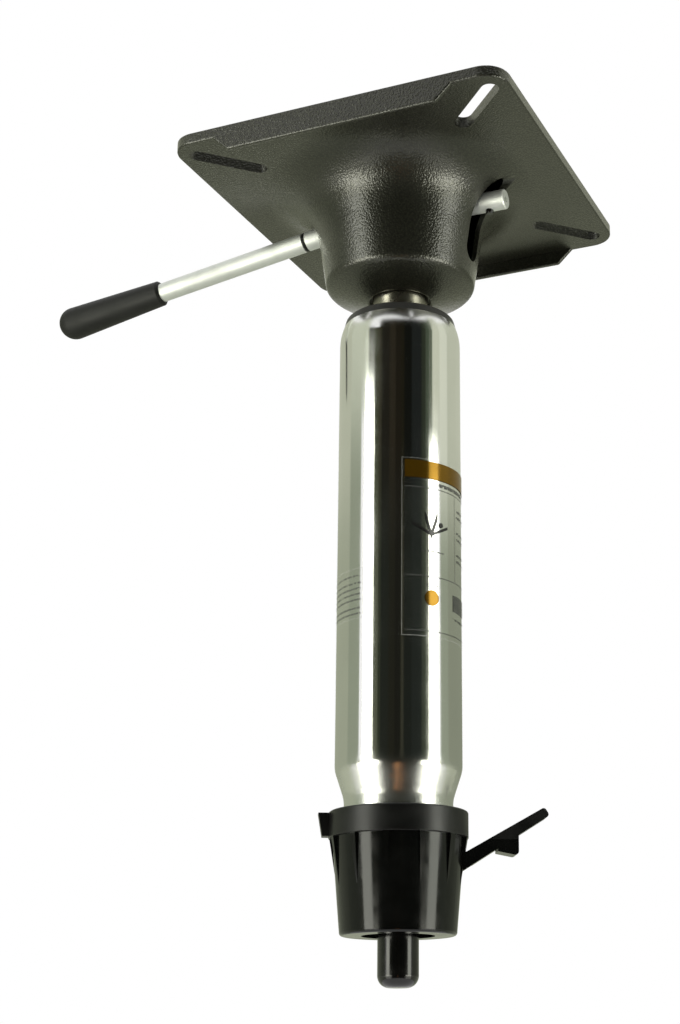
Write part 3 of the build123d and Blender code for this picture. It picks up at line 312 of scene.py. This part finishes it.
def build_dot():
    """Printed round dot."""
    names = ["Angle", "Level", "Centre Angle", "Centre Level", "Radius"]
    tree, given, result = effect("Printed Dot", [(name, 0.0) for name in names], ["Mask"])
    arc = math_node(tree, "SUBTRACT", given["Angle"], given["Centre Angle"])
    across = math_node(tree, "MULTIPLY", arc, math.radians(POST_RADIUS / MM))
    up = math_node(tree, "SUBTRACT", given["Level"], given["Centre Level"])
    squares = math_node(tree, "ADD", math_node(tree, "POWER", across, 2.0), math_node(tree, "POWER", up, 2.0))
    reach = math_node(tree, "SQRT", squares)
    tree.links.new(math_node(tree, "LESS_THAN", reach, given["Radius"]), result["Mask"])


def build_chevron():
    """Printed chevron that points down the post."""
    names = ["Angle", "Level", "Centre Angle", "Tip Level", "Slope", "Half Width"]
    tree, given, result = effect("Printed Chevron", [(name, 0.0) for name in names], ["Mask"])
    arc = math_node(tree, "SUBTRACT", given["Angle"], given["Centre Angle"])
    across = math_node(tree, "ABSOLUTE", math_node(tree, "MULTIPLY", arc, math.radians(POST_RADIUS / MM)))
    arm = math_node(tree, "MULTIPLY_ADD", across, given["Slope"], given["Tip Level"])
    off = math_node(tree, "ABSOLUTE", math_node(tree, "SUBTRACT", given["Level"], arm))
    thick = math_node(tree, "MULTIPLY_ADD", given["Slope"], 0.55, 0.45)
    line = math_node(tree, "LESS_THAN", off, thick)
    inside = math_node(tree, "LESS_THAN", across, given["Half Width"])
    tree.links.new(math_node(tree, "MULTIPLY", line, inside), result["Mask"])


def build_words():
    """Gaps that break a printed strip into short dashes."""
    tree, given, result = effect("Word Gaps", [("Angle", 0.0), ("Level", 0.0)], ["Mask"])
    row = math_node(tree, "MULTIPLY", math_node(tree, "FLOOR", given["Level"]), 7.3)
    along = math_node(tree, "MULTIPLY", given["Angle"], 0.55)
    spot = place(tree, "ShaderNodeCombineXYZ", {"X": along, "Y": row})
    gaps = place(tree, "ShaderNodeTexNoise", {"Vector": spot.outputs[0], "Scale": 1.0, "Detail": 1.0})
    tree.links.new(math_node(tree, "GREATER_THAN", gaps.outputs["Fac"], 0.44), result["Mask"])


EFFECTS = (
    build_hammertone,
    build_grain,
    build_handling,
    build_lines,
    build_post_place,
    build_field,
    build_dot,
    build_chevron,
    build_words,
)


def new_finish(name):
    """An empty node material: (material, tree)."""
    finish = bpy.data.materials.new(name)
    finish.use_nodes = True
    finish.node_tree.nodes.clear()
    return finish, finish.node_tree


def surface(tree, inputs):
    """Adds the Principled shader and the output it feeds."""
    shader = place(tree, "ShaderNodeBsdfPrincipled", inputs)
    place(tree, "ShaderNodeOutputMaterial", {"Surface": shader.outputs[0]})


def bump(tree, height, strength, distance, normal=None):
    """A Bump node's normal."""
    inputs = {"Height": height, "Strength": strength, "Distance": distance}
    if normal is not None:
        inputs["Normal"] = normal
    return place(tree, "ShaderNodeBump", inputs).outputs["Normal"]


def dress(finish, *nodes):
    """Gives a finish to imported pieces."""
    for name in nodes:
        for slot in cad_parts[name].material_slots:
            slot.material = finish


def four(colour):
    """A colour with full opacity."""
    return (colour[0], colour[1], colour[2], 1.0)


def shaded(colour, share):
    """The colour made lighter or darker by a share."""
    return (colour[0] * share, colour[1] * share, colour[2] * share, 1.0)


def marked_colour(tree, marks, colour, share):
    """The colour, made lighter or darker by a share in its marks."""
    return mix_colour(tree, marks, four(colour), shaded(colour, share))


def marked_value(tree, marks, clean, marked):
    """One value where the surface is clean and another in its marks."""
    return map_range(tree, marks, 0.0, 1.0, clean, marked)


class PedestalPost(bpy.types.PropertyGroup):
    colour: FloatVectorProperty(
        name="Post Colour",
        description="Colour of the polished tube",
        subtype="COLOR",
        default=(0.86, 0.865, 0.84),
    )
    polish: FloatProperty(
        name="Post Roughness", description="Roughness of the polish", subtype="FACTOR", default=0.075
    )
    hammer: FloatProperty(
        name="Swage Marks",
        description="Depth of the swaging marks",
        unit="LENGTH",
        subtype="DISTANCE",
        default=0.00006,
    )


class PedestalSeatPlate(bpy.types.PropertyGroup):
    colour: FloatVectorProperty(
        name="Coat Colour",
        description="Colour of the hammertone coat",
        subtype="COLOR",
        default=(0.021, 0.0225, 0.0155),
    )
    cell: FloatProperty(
        name="Cell Size",
        description="Width of a hammertone cell",
        unit="LENGTH",
        subtype="DISTANCE",
        default=0.0009,
    )
    depth: FloatProperty(
        name="Cell Depth",
        description="Depth of the cells",
        unit="LENGTH",
        subtype="DISTANCE",
        default=0.00011,
    )
    gloss: FloatProperty(
        name="Coat Roughness",
        description="Roughness of the clear top of the coat",
        subtype="FACTOR",
        default=0.22,
    )


class PedestalHandle(bpy.types.PropertyGroup):
    rod_colour: FloatVectorProperty(
        name="Rod Colour", description="Colour of the rod", subtype="COLOR", default=(0.75, 0.77, 0.73)
    )
    grip_colour: FloatVectorProperty(
        name="Grip Colour", description="Colour of the grip", subtype="COLOR", default=(0.011, 0.0115, 0.009)
    )


class PedestalPlug(bpy.types.PropertyGroup):
    colour: FloatVectorProperty(
        name="Plug Colour",
        description="Colour of the nylon",
        subtype="COLOR",
        default=(0.0028, 0.003, 0.0026),
    )
    gloss: FloatProperty(
        name="Plug Roughness", description="Roughness of the nylon", subtype="FACTOR", default=0.11
    )
    pin_colour: FloatVectorProperty(
        name="Pin Colour",
        description="Colour of the pin's coat",
        subtype="COLOR",
        default=(0.003, 0.003, 0.0026),
    )


class PedestalLabels(bpy.types.PropertyGroup):
    orange: FloatVectorProperty(
        name="Print Orange",
        description="Colour of the band and the dot",
        subtype="COLOR",
        default=(0.22, 0.115, 0.007),
    )
    ink: FloatVectorProperty(
        name="Print Ink",
        description="Colour of the rules and strips",
        subtype="COLOR",
        default=(0.02, 0.02, 0.018),
    )
    film: FloatVectorProperty(
        name="Film Colour",
        description="Colour of the film's haze",
        subtype="COLOR",
        default=(0.25, 0.26, 0.23),
    )


class PedestalStage(bpy.types.PropertyGroup):
    floor_level: FloatProperty(
        name="Floor Level",
        description="Height of the floor",
        unit="LENGTH",
        subtype="DISTANCE",
        default=-0.10,
    )
    room_light: FloatProperty(
        name="Room Light", description="Strength of the light from all round", default=0.36
    )
    softbox_power: FloatProperty(
        name="Softbox Power", description="Power of each soft light, in watts", unit="POWER", default=4.5
    )


class PEDESTAL_OT_post(bpy.types.Operator):
    """Polish the post"""

    bl_idname = "pedestal.dress_post"
    bl_label = "Dress Post"

    def execute(self, context):
        settings = context.scene.pedestal_post
        finish, tree = new_finish("polished post")
        marks = use_effect(tree, "Handling Marks", {"Marks per Metre": 25.0})["Mask"]
        lines = use_effect(tree, "Tool Lines", {"Lines per Metre": 1300.0, "Share Z": 0.004})["Height"]
        level = object_height(tree)
        hammer = use_effect(tree, "Moulded Grain", {"Grains per Metre": 1500.0})["Height"]
        rise = map_range(tree, level, SWAGE_LOW, SWAGE_HIGH, 1.0, 0.0)
        shoulder = map_range(tree, level, SHOULDER_LOW, SHOULDER_HIGH, 0.0, 1.0)
        dents = math_node(tree, "MULTIPLY", hammer, rise)
        drawn = bump(tree, lines, 0.12, 0.00003)
        dented = bump(tree, dents, 0.9, settings.hammer, drawn)
        rough = marked_value(tree, marks, settings.polish, settings.polish + 0.05)
        rough = math_node(tree, "MULTIPLY_ADD", rise, SWAGE_ROUGHER, rough)
        rough = math_node(tree, "MULTIPLY_ADD", shoulder, SHOULDER_ROUGHER, rough)
        colour = marked_colour(tree, marks, settings.colour, 0.95)
        surface(tree, {"Base Color": colour, "Metallic": 1.0, "Roughness": rough, "Normal": dented})
        dress(finish, "post_tube")
        return {"FINISHED"}


class PEDESTAL_OT_cap(bpy.types.Operator):
    """Finish the dark cap and the guide bushing in the post's mouth"""

    bl_idname = "pedestal.dress_cap"
    bl_label = "Dress Cap and Guide"

    def execute(self, context):
        for name, node, colour, rough in (
            ("dark nylon", "top_cap", (0.03, 0.03, 0.027), 0.38),
            ("white acetal", "guide_bushing", (0.72, 0.72, 0.69), 0.42),
        ):
            finish, tree = new_finish(name)
            grain = use_effect(tree, "Moulded Grain", {"Grains per Metre": 1800.0})["Height"]
            marks = use_effect(tree, "Handling Marks", {"Marks per Metre": 60.0})["Mask"]
            tint = marked_colour(tree, marks, colour, 1.15)
            wear = marked_value(tree, marks, rough, rough + 0.1)
            normal = bump(tree, grain, 0.2, 0.00005)
            surface(tree, {"Base Color": tint, "Roughness": wear, "Normal": normal})
            dress(finish, node)
        return {"FINISHED"}


class PEDESTAL_OT_seat_plate(bpy.types.Operator):
    """Coat the seat plate and the hub in dark bronze hammertone"""

    bl_idname = "pedestal.dress_seat_plate"
    bl_label = "Dress Seat Plate"

    def execute(self, context):
        settings = context.scene.pedestal_seat_plate
        finish, tree = new_finish("bronze hammertone")
        cells = use_effect(tree, "Hammertone", {"Cells per Metre": 1.0 / settings.cell, "Wander": 0.5})
        marks = use_effect(tree, "Handling Marks", {"Marks per Metre": 45.0})["Mask"]
        # The coat is painted lighter on the domes' tops and darker in the troughs between the cells: painted shade
        # of the cells' relief.
        light = shaded(settings.colour, 1.5)
        dark = shaded(settings.colour, 0.55)
        relief_shaded_tint = mix_colour(tree, cells["Shade"], dark, light)
        tint = mix_colour(tree, math_node(tree, "MULTIPLY", marks, 0.25), relief_shaded_tint, four(settings.colour))
        rough = map_range(tree, cells["Shade"], 0.0, 1.0, 0.45, 0.32)
        normal = bump(tree, cells["Height"], 0.8, settings.depth)
        inputs = {
            "Base Color": tint,
            "Metallic": 0.5,
            "Coat Tint": (1.0, 0.98, 0.88, 1.0),
            "Roughness": rough,
            "Normal": normal,
            "Coat Weight": 1.0,
            "Coat Roughness": settings.gloss,
            "Coat Normal": normal,
        }
        surface(tree, inputs)
        dress(finish, "seat_plate", "cover_plate", "taper_hub")
        return {"FINISHED"}


class PEDESTAL_OT_handle(bpy.types.Operator):
    """Finish the rod, its ring and the rubber grip"""

    bl_idname = "pedestal.dress_handle"
    bl_label = "Dress Handle"

    def execute(self, context):
        settings = context.scene.pedestal_handle
        finish, tree = new_finish("satin rod")
        shares = {"Lines per Metre": 2600.0, "Share X": 0.02, "Share Z": 1.0}
        lines = use_effect(tree, "Tool Lines", shares)["Height"]
        grain = use_effect(tree, "Moulded Grain", {"Grains per Metre": 4200.0})["Height"]
        marks = use_effect(tree, "Handling Marks", {"Marks per Metre": 70.0})["Mask"]
        tint = marked_colour(tree, marks, settings.rod_colour, 0.9)
        rough = marked_value(tree, marks, 0.5, 0.58)
        normal = bump(tree, lines, 0.15, 0.00003, bump(tree, grain, 0.15, 0.00003))
        surface(tree, {"Base Color": tint, "Metallic": 0.75, "Roughness": rough, "Normal": normal})
        dress(finish, "handle_rod")
        finish, tree = new_finish("grip rubber")
        grain = use_effect(tree, "Moulded Grain", {"Grains per Metre": 1500.0})["Height"]
        marks = use_effect(tree, "Handling Marks", {"Marks per Metre": 55.0})["Mask"]
        tint = marked_colour(tree, marks, settings.grip_colour, 1.4)
        rough = marked_value(tree, marks, 0.5, 0.6)
        normal = bump(tree, grain, 0.35, 0.00008)
        inputs = {"Base Color": tint, "Roughness": rough, "Normal": normal, "Specular IOR Level": 0.3}
        surface(tree, inputs)
        dress(finish, "handle_grip", "handle_ring")
        return {"FINISHED"}


class PEDESTAL_OT_plug(bpy.types.Operator):
    """Finish the taper plug, its lock lever and the centre pin"""

    bl_idname = "pedestal.dress_plug"
    bl_label = "Dress Plug"

    def execute(self, context):
        settings = context.scene.pedestal_plug
        finish, tree = new_finish("black nylon")
        grain = use_effect(tree, "Moulded Grain", {"Grains per Metre": 900.0})["Height"]
        lines = use_effect(tree, "Tool Lines", {"Lines per Metre": 700.0, "Share Z": 0.03})["Height"]
        marks = use_effect(tree, "Handling Marks", {"Marks per Metre": 80.0})["Mask"]
        tint = marked_colour(tree, marks, settings.colour, 1.5)
        rough = marked_value(tree, marks, settings.gloss, settings.gloss + 0.06)
        level = object_height(tree)
        rim = map_range(tree, level, RIM_LOW - RIM_STEP, RIM_LOW, 0.0, 1.0)
        rough = math_node(tree, "MULTIPLY_ADD", rim, RIM_ROUGHER, rough)
        normal = bump(tree, lines, 0.1, 0.00004, bump(tree, grain, 0.12, 0.00004))
        surface(tree, {"Base Color": tint, "Roughness": rough, "Normal": normal})
        dress(finish, "taper_plug", "lock_lever")
        finish, tree = new_finish("black pin coat")
        marks = use_effect(tree, "Handling Marks", {"Marks per Metre": 90.0})["Mask"]
        shares = {"Lines per Metre": 900.0, "Share X": 0.05, "Share Y": 0.05, "Share Z": 1.0}
        lines = use_effect(tree, "Tool Lines", shares)["Height"]
        tint = marked_colour(tree, marks, settings.pin_colour, 1.6)
        rough = marked_value(tree, marks, 0.14, 0.24)
        normal = bump(tree, lines, 0.08, 0.00004)
        inputs = {
            "Base Color": tint,
            "Roughness": rough,
            "Normal": normal,
            "Coat Weight": 0.4,
            "Coat Roughness": 0.1,
        }
        surface(tree, inputs)
        dress(finish, "centre_pin", "tail_pin")
        return {"FINISHED"}


class PEDESTAL_OT_works(bpy.types.Operator):
    """Finish the gas spring, the bearing and the other inner works"""

    bl_idname = "pedestal.dress_works"
    bl_label = "Dress Inner Works"

    # Name, colour, roughness, share across the tool lines and pieces
    metals = (
        ("satin cylinder", (0.5, 0.48, 0.4), 0.24, 0.3, ("gas_cylinder",)),
        ("ground chrome", (0.62, 0.62, 0.6), 0.12, 0.02, ("piston_rod", "bearing_balls")),
        (
            "zinc plate",
            (0.6, 0.61, 0.6),
            0.3,
            0.3,
            (
                "end_block",
                "rod_seat",
                "rod_clip",
                "bearing_washer_lower",
                "bearing_washer_upper",
                "rebound_spacer",
                "valve_button",
                "lever_pin",
                "lever_spring",
            ),
        ),
        ("turned aluminium", (0.78, 0.79, 0.77), 0.3, 0.3, ("piston", "rod_guide")),
        ("turned brass", (0.75, 0.55, 0.22), 0.28, 0.3, ("bearing_cage", "valve_body")),
    )

    def execute(self, context):
        for name, colour, rough, share, nodes in self.metals:
            finish, tree = new_finish(name)
            shares = {"Lines per Metre": 3000.0, "Share X": share, "Share Y": share, "Share Z": 1.0}
            lines = use_effect(tree, "Tool Lines", shares)["Height"]
            marks = use_effect(tree, "Handling Marks", {"Marks per Metre": 90.0})["Mask"]
            tint = marked_colour(tree, marks, colour, 0.88)
            wear = marked_value(tree, marks, rough, rough + 0.08)
            normal = bump(tree, lines, 0.1, 0.00003)
            surface(tree, {"Base Color": tint, "Metallic": 1.0, "Roughness": wear, "Normal": normal})
            dress(finish, *nodes)
        finish, tree = new_finish("black rubber")
        grain = use_effect(tree, "Moulded Grain", {"Grains per Metre": 1600.0})["Height"]
        tint = mix_colour(tree, grain, (0.012, 0.012, 0.012, 1.0), (0.03, 0.03, 0.03, 1.0))
        surface(tree, {"Base Color": tint, "Roughness": 0.7, "Normal": bump(tree, grain, 0.3, 0.00006)})
        dress(finish, "bump_stop", "piston_seal")
        return {"FINISHED"}


def print_mask(tree, spot, name, inputs=None):
    """The mask of one of the print effects."""
    return use_effect(tree, name, {"Angle": spot["Angle"], "Level": spot["Level"], **(inputs or {})})["Mask"]


def print_fields(tree, spot, fields):
    """The mask of several printed rectangles together."""
    mask = None
    for low, high, bottom, top in fields:
        inputs = {"Angle From": low, "Angle To": high, "Level From": bottom, "Level To": top}
        field = print_mask(tree, spot, "Printed Field", inputs)
        mask = field if mask is None else math_node(tree, "MAXIMUM", mask, field)
    return mask


def print_words(tree, spot, strips):
    """The mask of several strips broken into dashes."""
    gaps = print_mask(tree, spot, "Word Gaps")
    return math_node(tree, "MULTIPLY", print_fields(tree, spot, strips), gaps)


def print_dot(tree, spot, dot):
    """The mask of a printed dot."""
    angle, level, radius = dot
    inputs = {"Centre Angle": angle, "Centre Level": level, "Radius": radius}
    return print_mask(tree, spot, "Printed Dot", inputs)


def film_border(tree, spot, film):
    """The pale edge of a film label."""
    low, high, bottom, top = film
    turn = math.degrees(FILM_EDGE / (POST_RADIUS / MM))
    inner = print_fields(tree, spot, [(low + turn, high - turn, bottom + FILM_EDGE, top - FILM_EDGE)])
    return math_node(tree, "SUBTRACT", 1.0, inner, clamp=True)


class PEDESTAL_OT_labels(bpy.types.Operator):
    """Print the two clear labels with plain fields, rules and strips"""

    bl_idname = "pedestal.dress_labels"
    bl_label = "Dress Labels"

    def film_finish(self, settings, finish, node, film, spot, ink_mask, orange_mask=None):
        """Finishes one label from its ink mask and, where it has one, its orange mask."""
        tree = finish.node_tree
        border = film_border(tree, spot, film)
        marks = use_effect(tree, "Handling Marks", {"Marks per Metre": 60.0})["Mask"]
        tint = mix_colour(tree, border, four(settings.film), (0.8, 0.8, 0.76, 1.0))
        tint = mix_colour(tree, ink_mask, tint, four(settings.ink))
        clear = marked_value(tree, marks, 0.004, 0.01)
        alpha = math_node(tree, "MAXIMUM", clear, math_node(tree, "MULTIPLY", border, EDGE_COVER))
        alpha = math_node(tree, "MAXIMUM", alpha, math_node(tree, "MULTIPLY", ink_mask, INK_COVER))
        metal = 0.0
        if orange_mask is not None:
            tint = mix_colour(tree, orange_mask, tint, four(settings.orange))
            alpha = math_node(tree, "MAXIMUM", alpha, math_node(tree, "MULTIPLY", orange_mask, ORANGE_COVER))
            metal = math_node(tree, "MULTIPLY", orange_mask, ORANGE_METAL)
        rough = marked_value(tree, marks, 0.12, 0.2)
        surface(tree, {"Base Color": tint, "Alpha": alpha, "Metallic": metal, "Roughness": rough})
        dress(finish, node)

    def execute(self, context):
        settings = context.scene.pedestal_labels
        finish, tree = new_finish("main label film")
        spot = use_effect(tree, "Place on Post")
        rules = math_node(tree, "MULTIPLY", print_fields(tree, spot, MAIN_RULES), RULE_INK)
        block = math_node(tree, "MULTIPLY", print_fields(tree, spot, [MAIN_BLOCK]), BLOCK_INK)
        ink = math_node(tree, "MAXIMUM", rules, block)
        words = math_node(tree, "MULTIPLY", print_words(tree, spot, MAIN_WORDS), WORD_INK)
        ink = math_node(tree, "MAXIMUM", ink, words)
        ink = math_node(tree, "MAXIMUM", ink, print_dot(tree, spot, MAIN_SPOT))
        for angle, tip, slope, half in MAIN_CHEVRONS:
            inputs = {"Centre Angle": angle, "Tip Level": tip, "Slope": slope, "Half Width": half}
            ink = math_node(tree, "MAXIMUM", ink, print_mask(tree, spot, "Printed Chevron", inputs))
        dot = print_dot(tree, spot, MAIN_DOT)
        orange = math_node(tree, "MAXIMUM", dot, print_fields(tree, spot, [MAIN_ORANGE]))
        self.film_finish(settings, finish, "main_label", MAIN_FILM, spot, ink, orange)
        finish, tree = new_finish("side label film")
        spot = use_effect(tree, "Place on Post")
        ink = math_node(tree, "MULTIPLY", print_words(tree, spot, SIDE_WORDS), SIDE_WORD_INK)
        self.film_finish(settings, finish, "side_label", SIDE_FILM, spot, ink)
        return {"FINISHED"}


def stage_mesh(name, verts, faces, finish):
    """A studio surface that isn't part of the pedestal."""
    mesh = bpy.data.meshes.new(name)
    mesh.from_pydata(verts, [], faces)
    mesh.materials.append(finish)
    thing = bpy.data.objects.new(name, mesh)
    bpy.context.scene.collection.objects.link(thing)
    return thing


def studio_wall(name, first_deg, last_deg, profile, lower, upper=None, change=FADE_LEVEL):
    """Adds a curved card that only polished pieces reflect."""
    finish, tree = new_finish(name)
    level = object_height(tree)
    share = map_range(tree, level, change - FADE_HALF, change + FADE_HALF, 0.0, 1.0)
    tint = mix_colour(tree, share, four(lower), four(upper or lower))
    glow = place(tree, "ShaderNodeEmission", {"Color": tint, "Strength": 1.0})
    place(tree, "ShaderNodeOutputMaterial", {"Surface": glow.outputs[0]})
    steps = max(2, int(abs(last_deg - first_deg) / CARD_STEP_DEG))
    verts = []
    for index in range(steps + 1):
        turn = math.radians(CAMERA_SIDE_DEG + first_deg + (last_deg - first_deg) * index / steps)
        verts += [(radius * math.cos(turn), radius * math.sin(turn), height) for radius, height in profile]
    row = len(profile)
    faces = [
        (i * row + j, (i + 1) * row + j, (i + 1) * row + j + 1, i * row + j + 1)
        for i in range(steps)
        for j in range(row - 1)
    ]
    card = stage_mesh(name, verts, faces, finish)
    card.visible_camera = False
    card.visible_diffuse = False
    card.visible_shadow = False
    card.visible_transmission = False


def soft_light(name, side_deg, width, height, middle, power):
    """Adds a tall soft light beside the camera."""
    lamp = bpy.data.lights.new(name, "AREA")
    lamp.shape = "RECTANGLE"
    lamp.size = width
    lamp.size_y = height
    lamp.energy = power
    lamp.color = LIGHT_COLOUR
    turn = math.radians(CAMERA_SIDE_DEG + side_deg)
    spot = Vector((LIGHT_DISTANCE * math.cos(turn), LIGHT_DISTANCE * math.sin(turn), middle))
    thing = bpy.data.objects.new(name, lamp)
    aim = Vector((0, 0, middle)) - spot
    thing.matrix_world = Matrix.Translation(spot) @ aim.to_track_quat("-Z", "Y").to_matrix().to_4x4()
    bpy.context.scene.collection.objects.link(thing)


class PEDESTAL_OT_stage(bpy.types.Operator):
    """Set the floor, the lights, the studio cards, the background and the camera"""

    bl_idname = "pedestal.set_stage"
    bl_label = "Set Stage"

    def floor(self, settings):
        """The pale floor, which keeps the pedestal's shadow."""
        finish, tree = new_finish("pale floor")
        grain = use_effect(tree, "Moulded Grain", {"Grains per Metre": 40.0})["Height"]
        tint = mix_colour(tree, grain, (0.86, 0.86, 0.86, 1.0), (0.89, 0.89, 0.89, 1.0))
        inputs = {
            "Base Color": tint,
            "Roughness": 0.9,
            "Specular IOR Level": 0.0,
            "Emission Color": (1.0, 1.0, 1.0, 1.0),
            "Emission Strength": 0.38,
        }
        surface(tree, inputs)
        half = FLOOR_HALF
        level = settings.floor_level
        corners = [(-half, -half, level), (half, -half, level), (half, half, level), (-half, half, level)]
        stage_mesh("floor", corners, [(0, 1, 2, 3)], finish)

    def background(self, settings):
        """Even room light, with white where the camera and polished pieces look."""
        world = bpy.data.worlds.new("studio")
        bpy.context.scene.world = world
        world.use_nodes = True
        tree = world.node_tree
        tree.nodes.clear()
        paths = place(tree, "ShaderNodeLightPath").outputs
        seen = math_node(tree, "ADD", paths["Is Camera Ray"], paths["Is Glossy Ray"], clamp=True)
        seen = math_node(tree, "ADD", seen, paths["Is Transmission Ray"], clamp=True)
        room = place(tree, "ShaderNodeBackground", {"Color": (1, 1, 1, 1), "Strength": settings.room_light})
        white = place(tree, "ShaderNodeBackground", {"Color": (1, 1, 1, 1), "Strength": 1.0})
        both = place(tree, "ShaderNodeMixShader", {0: seen, 1: room.outputs[0], 2: white.outputs[0]})
        place(tree, "ShaderNodeOutputWorld", {"Surface": both.outputs[0]})

    def cards(self, settings):
        """Cards that the polished post reflects."""
        low = settings.floor_level + CARD_LIFT
        studio_wall("dark floor card", -38.0, 43.0, [(0.14, low), (CARD_RADIUS, low)], (0.016, 0.016, 0.012))
        for index, (first, last, lower, upper, top) in enumerate(DARK_STRIPS):
            profile = [(CARD_RADIUS, low), (CARD_RADIUS, top)]
            studio_wall(f"dark strip {index + 1}", first, last, profile, lower, upper)
        for name, first, last, profile, *colours in SIDE_CARDS:
            profile = [(radius, low if height is None else height) for radius, height in profile]
            studio_wall(name, first, last, profile, *colours)
        for near, far in WARM_RINGS:
            profile = [(near, low + CARD_LIFT), (far, low + CARD_LIFT)]
            studio_wall("warm card", -6.0, 2.0, profile, WARM_COLOUR)

    def camera(self):
        """The photograph's camera."""
        heading = math.radians(CAMERA_HEADING_DEG)
        pitch = math.radians(CAMERA_PITCH_DEG)
        roll = math.radians(CAMERA_ROLL_DEG)
        ahead = Vector((math.sin(heading) * math.cos(pitch), math.cos(heading) * math.cos(pitch), math.sin(pitch)))
        level_right = Vector((math.cos(heading), -math.sin(heading), 0.0))
        level_up = level_right.cross(ahead)
        right = math.cos(roll) * level_right + math.sin(roll) * level_up
        up = -math.sin(roll) * level_right + math.cos(roll) * level_up
        turn = Matrix((right, up, -ahead)).transposed().to_4x4()
        lens = bpy.data.cameras.new("camera")
        lens.lens = CAMERA_LENS_MM
        lens.sensor_width = CAMERA_SENSOR_MM
        lens.shift_x = CAMERA_SHIFT_X
        lens.shift_y = CAMERA_SHIFT_Y
        lens.clip_start = 0.01
        thing = bpy.data.objects.new("camera", lens)
        thing.matrix_world = Matrix.Translation(Vector(CAMERA_PLACE)) @ turn
        bpy.context.scene.collection.objects.link(thing)
        bpy.context.scene.camera = thing

    def execute(self, context):
        settings = context.scene.pedestal_stage
        self.floor(settings)
        self.background(settings)
        self.cards(settings)
        for *measures, share in SOFT_LIGHTS:
            soft_light(*measures, settings.softbox_power * share)
        self.camera()
        context.scene.view_settings.view_transform = "Standard"
        return {"FINISHED"}


class PEDESTAL_PT_panel(bpy.types.Panel):
    """Sizes, colours and steps of the pedestal"""

    bl_idname = "PEDESTAL_PT_panel"
    bl_label = "Boat Seat Pedestal"
    bl_space_type = "VIEW_3D"
    bl_region_type = "UI"
    bl_category = "Pedestal"

    def draw(self, context):
        layout = self.layout
        for title, settings, operators in SECTIONS:
            box = layout.box()
            box.label(text=title)
            if settings:
                group = getattr(context.scene, settings)
                for name in group.bl_rna.properties.keys():
                    if name not in ("rna_type", "name"):
                        box.prop(group, name)
            for operator in operators:
                box.operator(operator)


SECTIONS = (
    ("Post", "pedestal_post", ("pedestal.dress_post", "pedestal.dress_cap")),
    ("Seat plate", "pedestal_seat_plate", ("pedestal.dress_seat_plate",)),
    ("Handle", "pedestal_handle", ("pedestal.dress_handle",)),
    ("Plug", "pedestal_plug", ("pedestal.dress_plug",)),
    ("Inner works", None, ("pedestal.dress_works",)),
    ("Labels", "pedestal_labels", ("pedestal.dress_labels",)),
    ("Stage", "pedestal_stage", ("pedestal.set_stage",)),
)
SETTINGS = {
    "pedestal_post": PedestalPost,
    "pedestal_seat_plate": PedestalSeatPlate,
    "pedestal_handle": PedestalHandle,
    "pedestal_plug": PedestalPlug,
    "pedestal_labels": PedestalLabels,
    "pedestal_stage": PedestalStage,
}
CLASSES = (
    *SETTINGS.values(),
    PEDESTAL_OT_post,
    PEDESTAL_OT_cap,
    PEDESTAL_OT_seat_plate,
    PEDESTAL_OT_handle,
    PEDESTAL_OT_plug,
    PEDESTAL_OT_works,
    PEDESTAL_OT_labels,
    PEDESTAL_OT_stage,
    PEDESTAL_PT_panel,
)


def register():
    for item in CLASSES:
        bpy.utils.register_class(item)
    for name, group in SETTINGS.items():
        setattr(bpy.types.Scene, name, PointerProperty(type=group))


def unregister():
    for name in SETTINGS:
        delattr(bpy.types.Scene, name)
    for item in reversed(CLASSES):
        bpy.utils.unregister_class(item)


def main():
    register()
    for build in EFFECTS:
        build()
    for _, _, operators in SECTIONS:
        for operator in operators:
            family, name = operator.split(".")
            getattr(getattr(bpy.ops, family), name)()


if __name__ == "__main__":
    main()
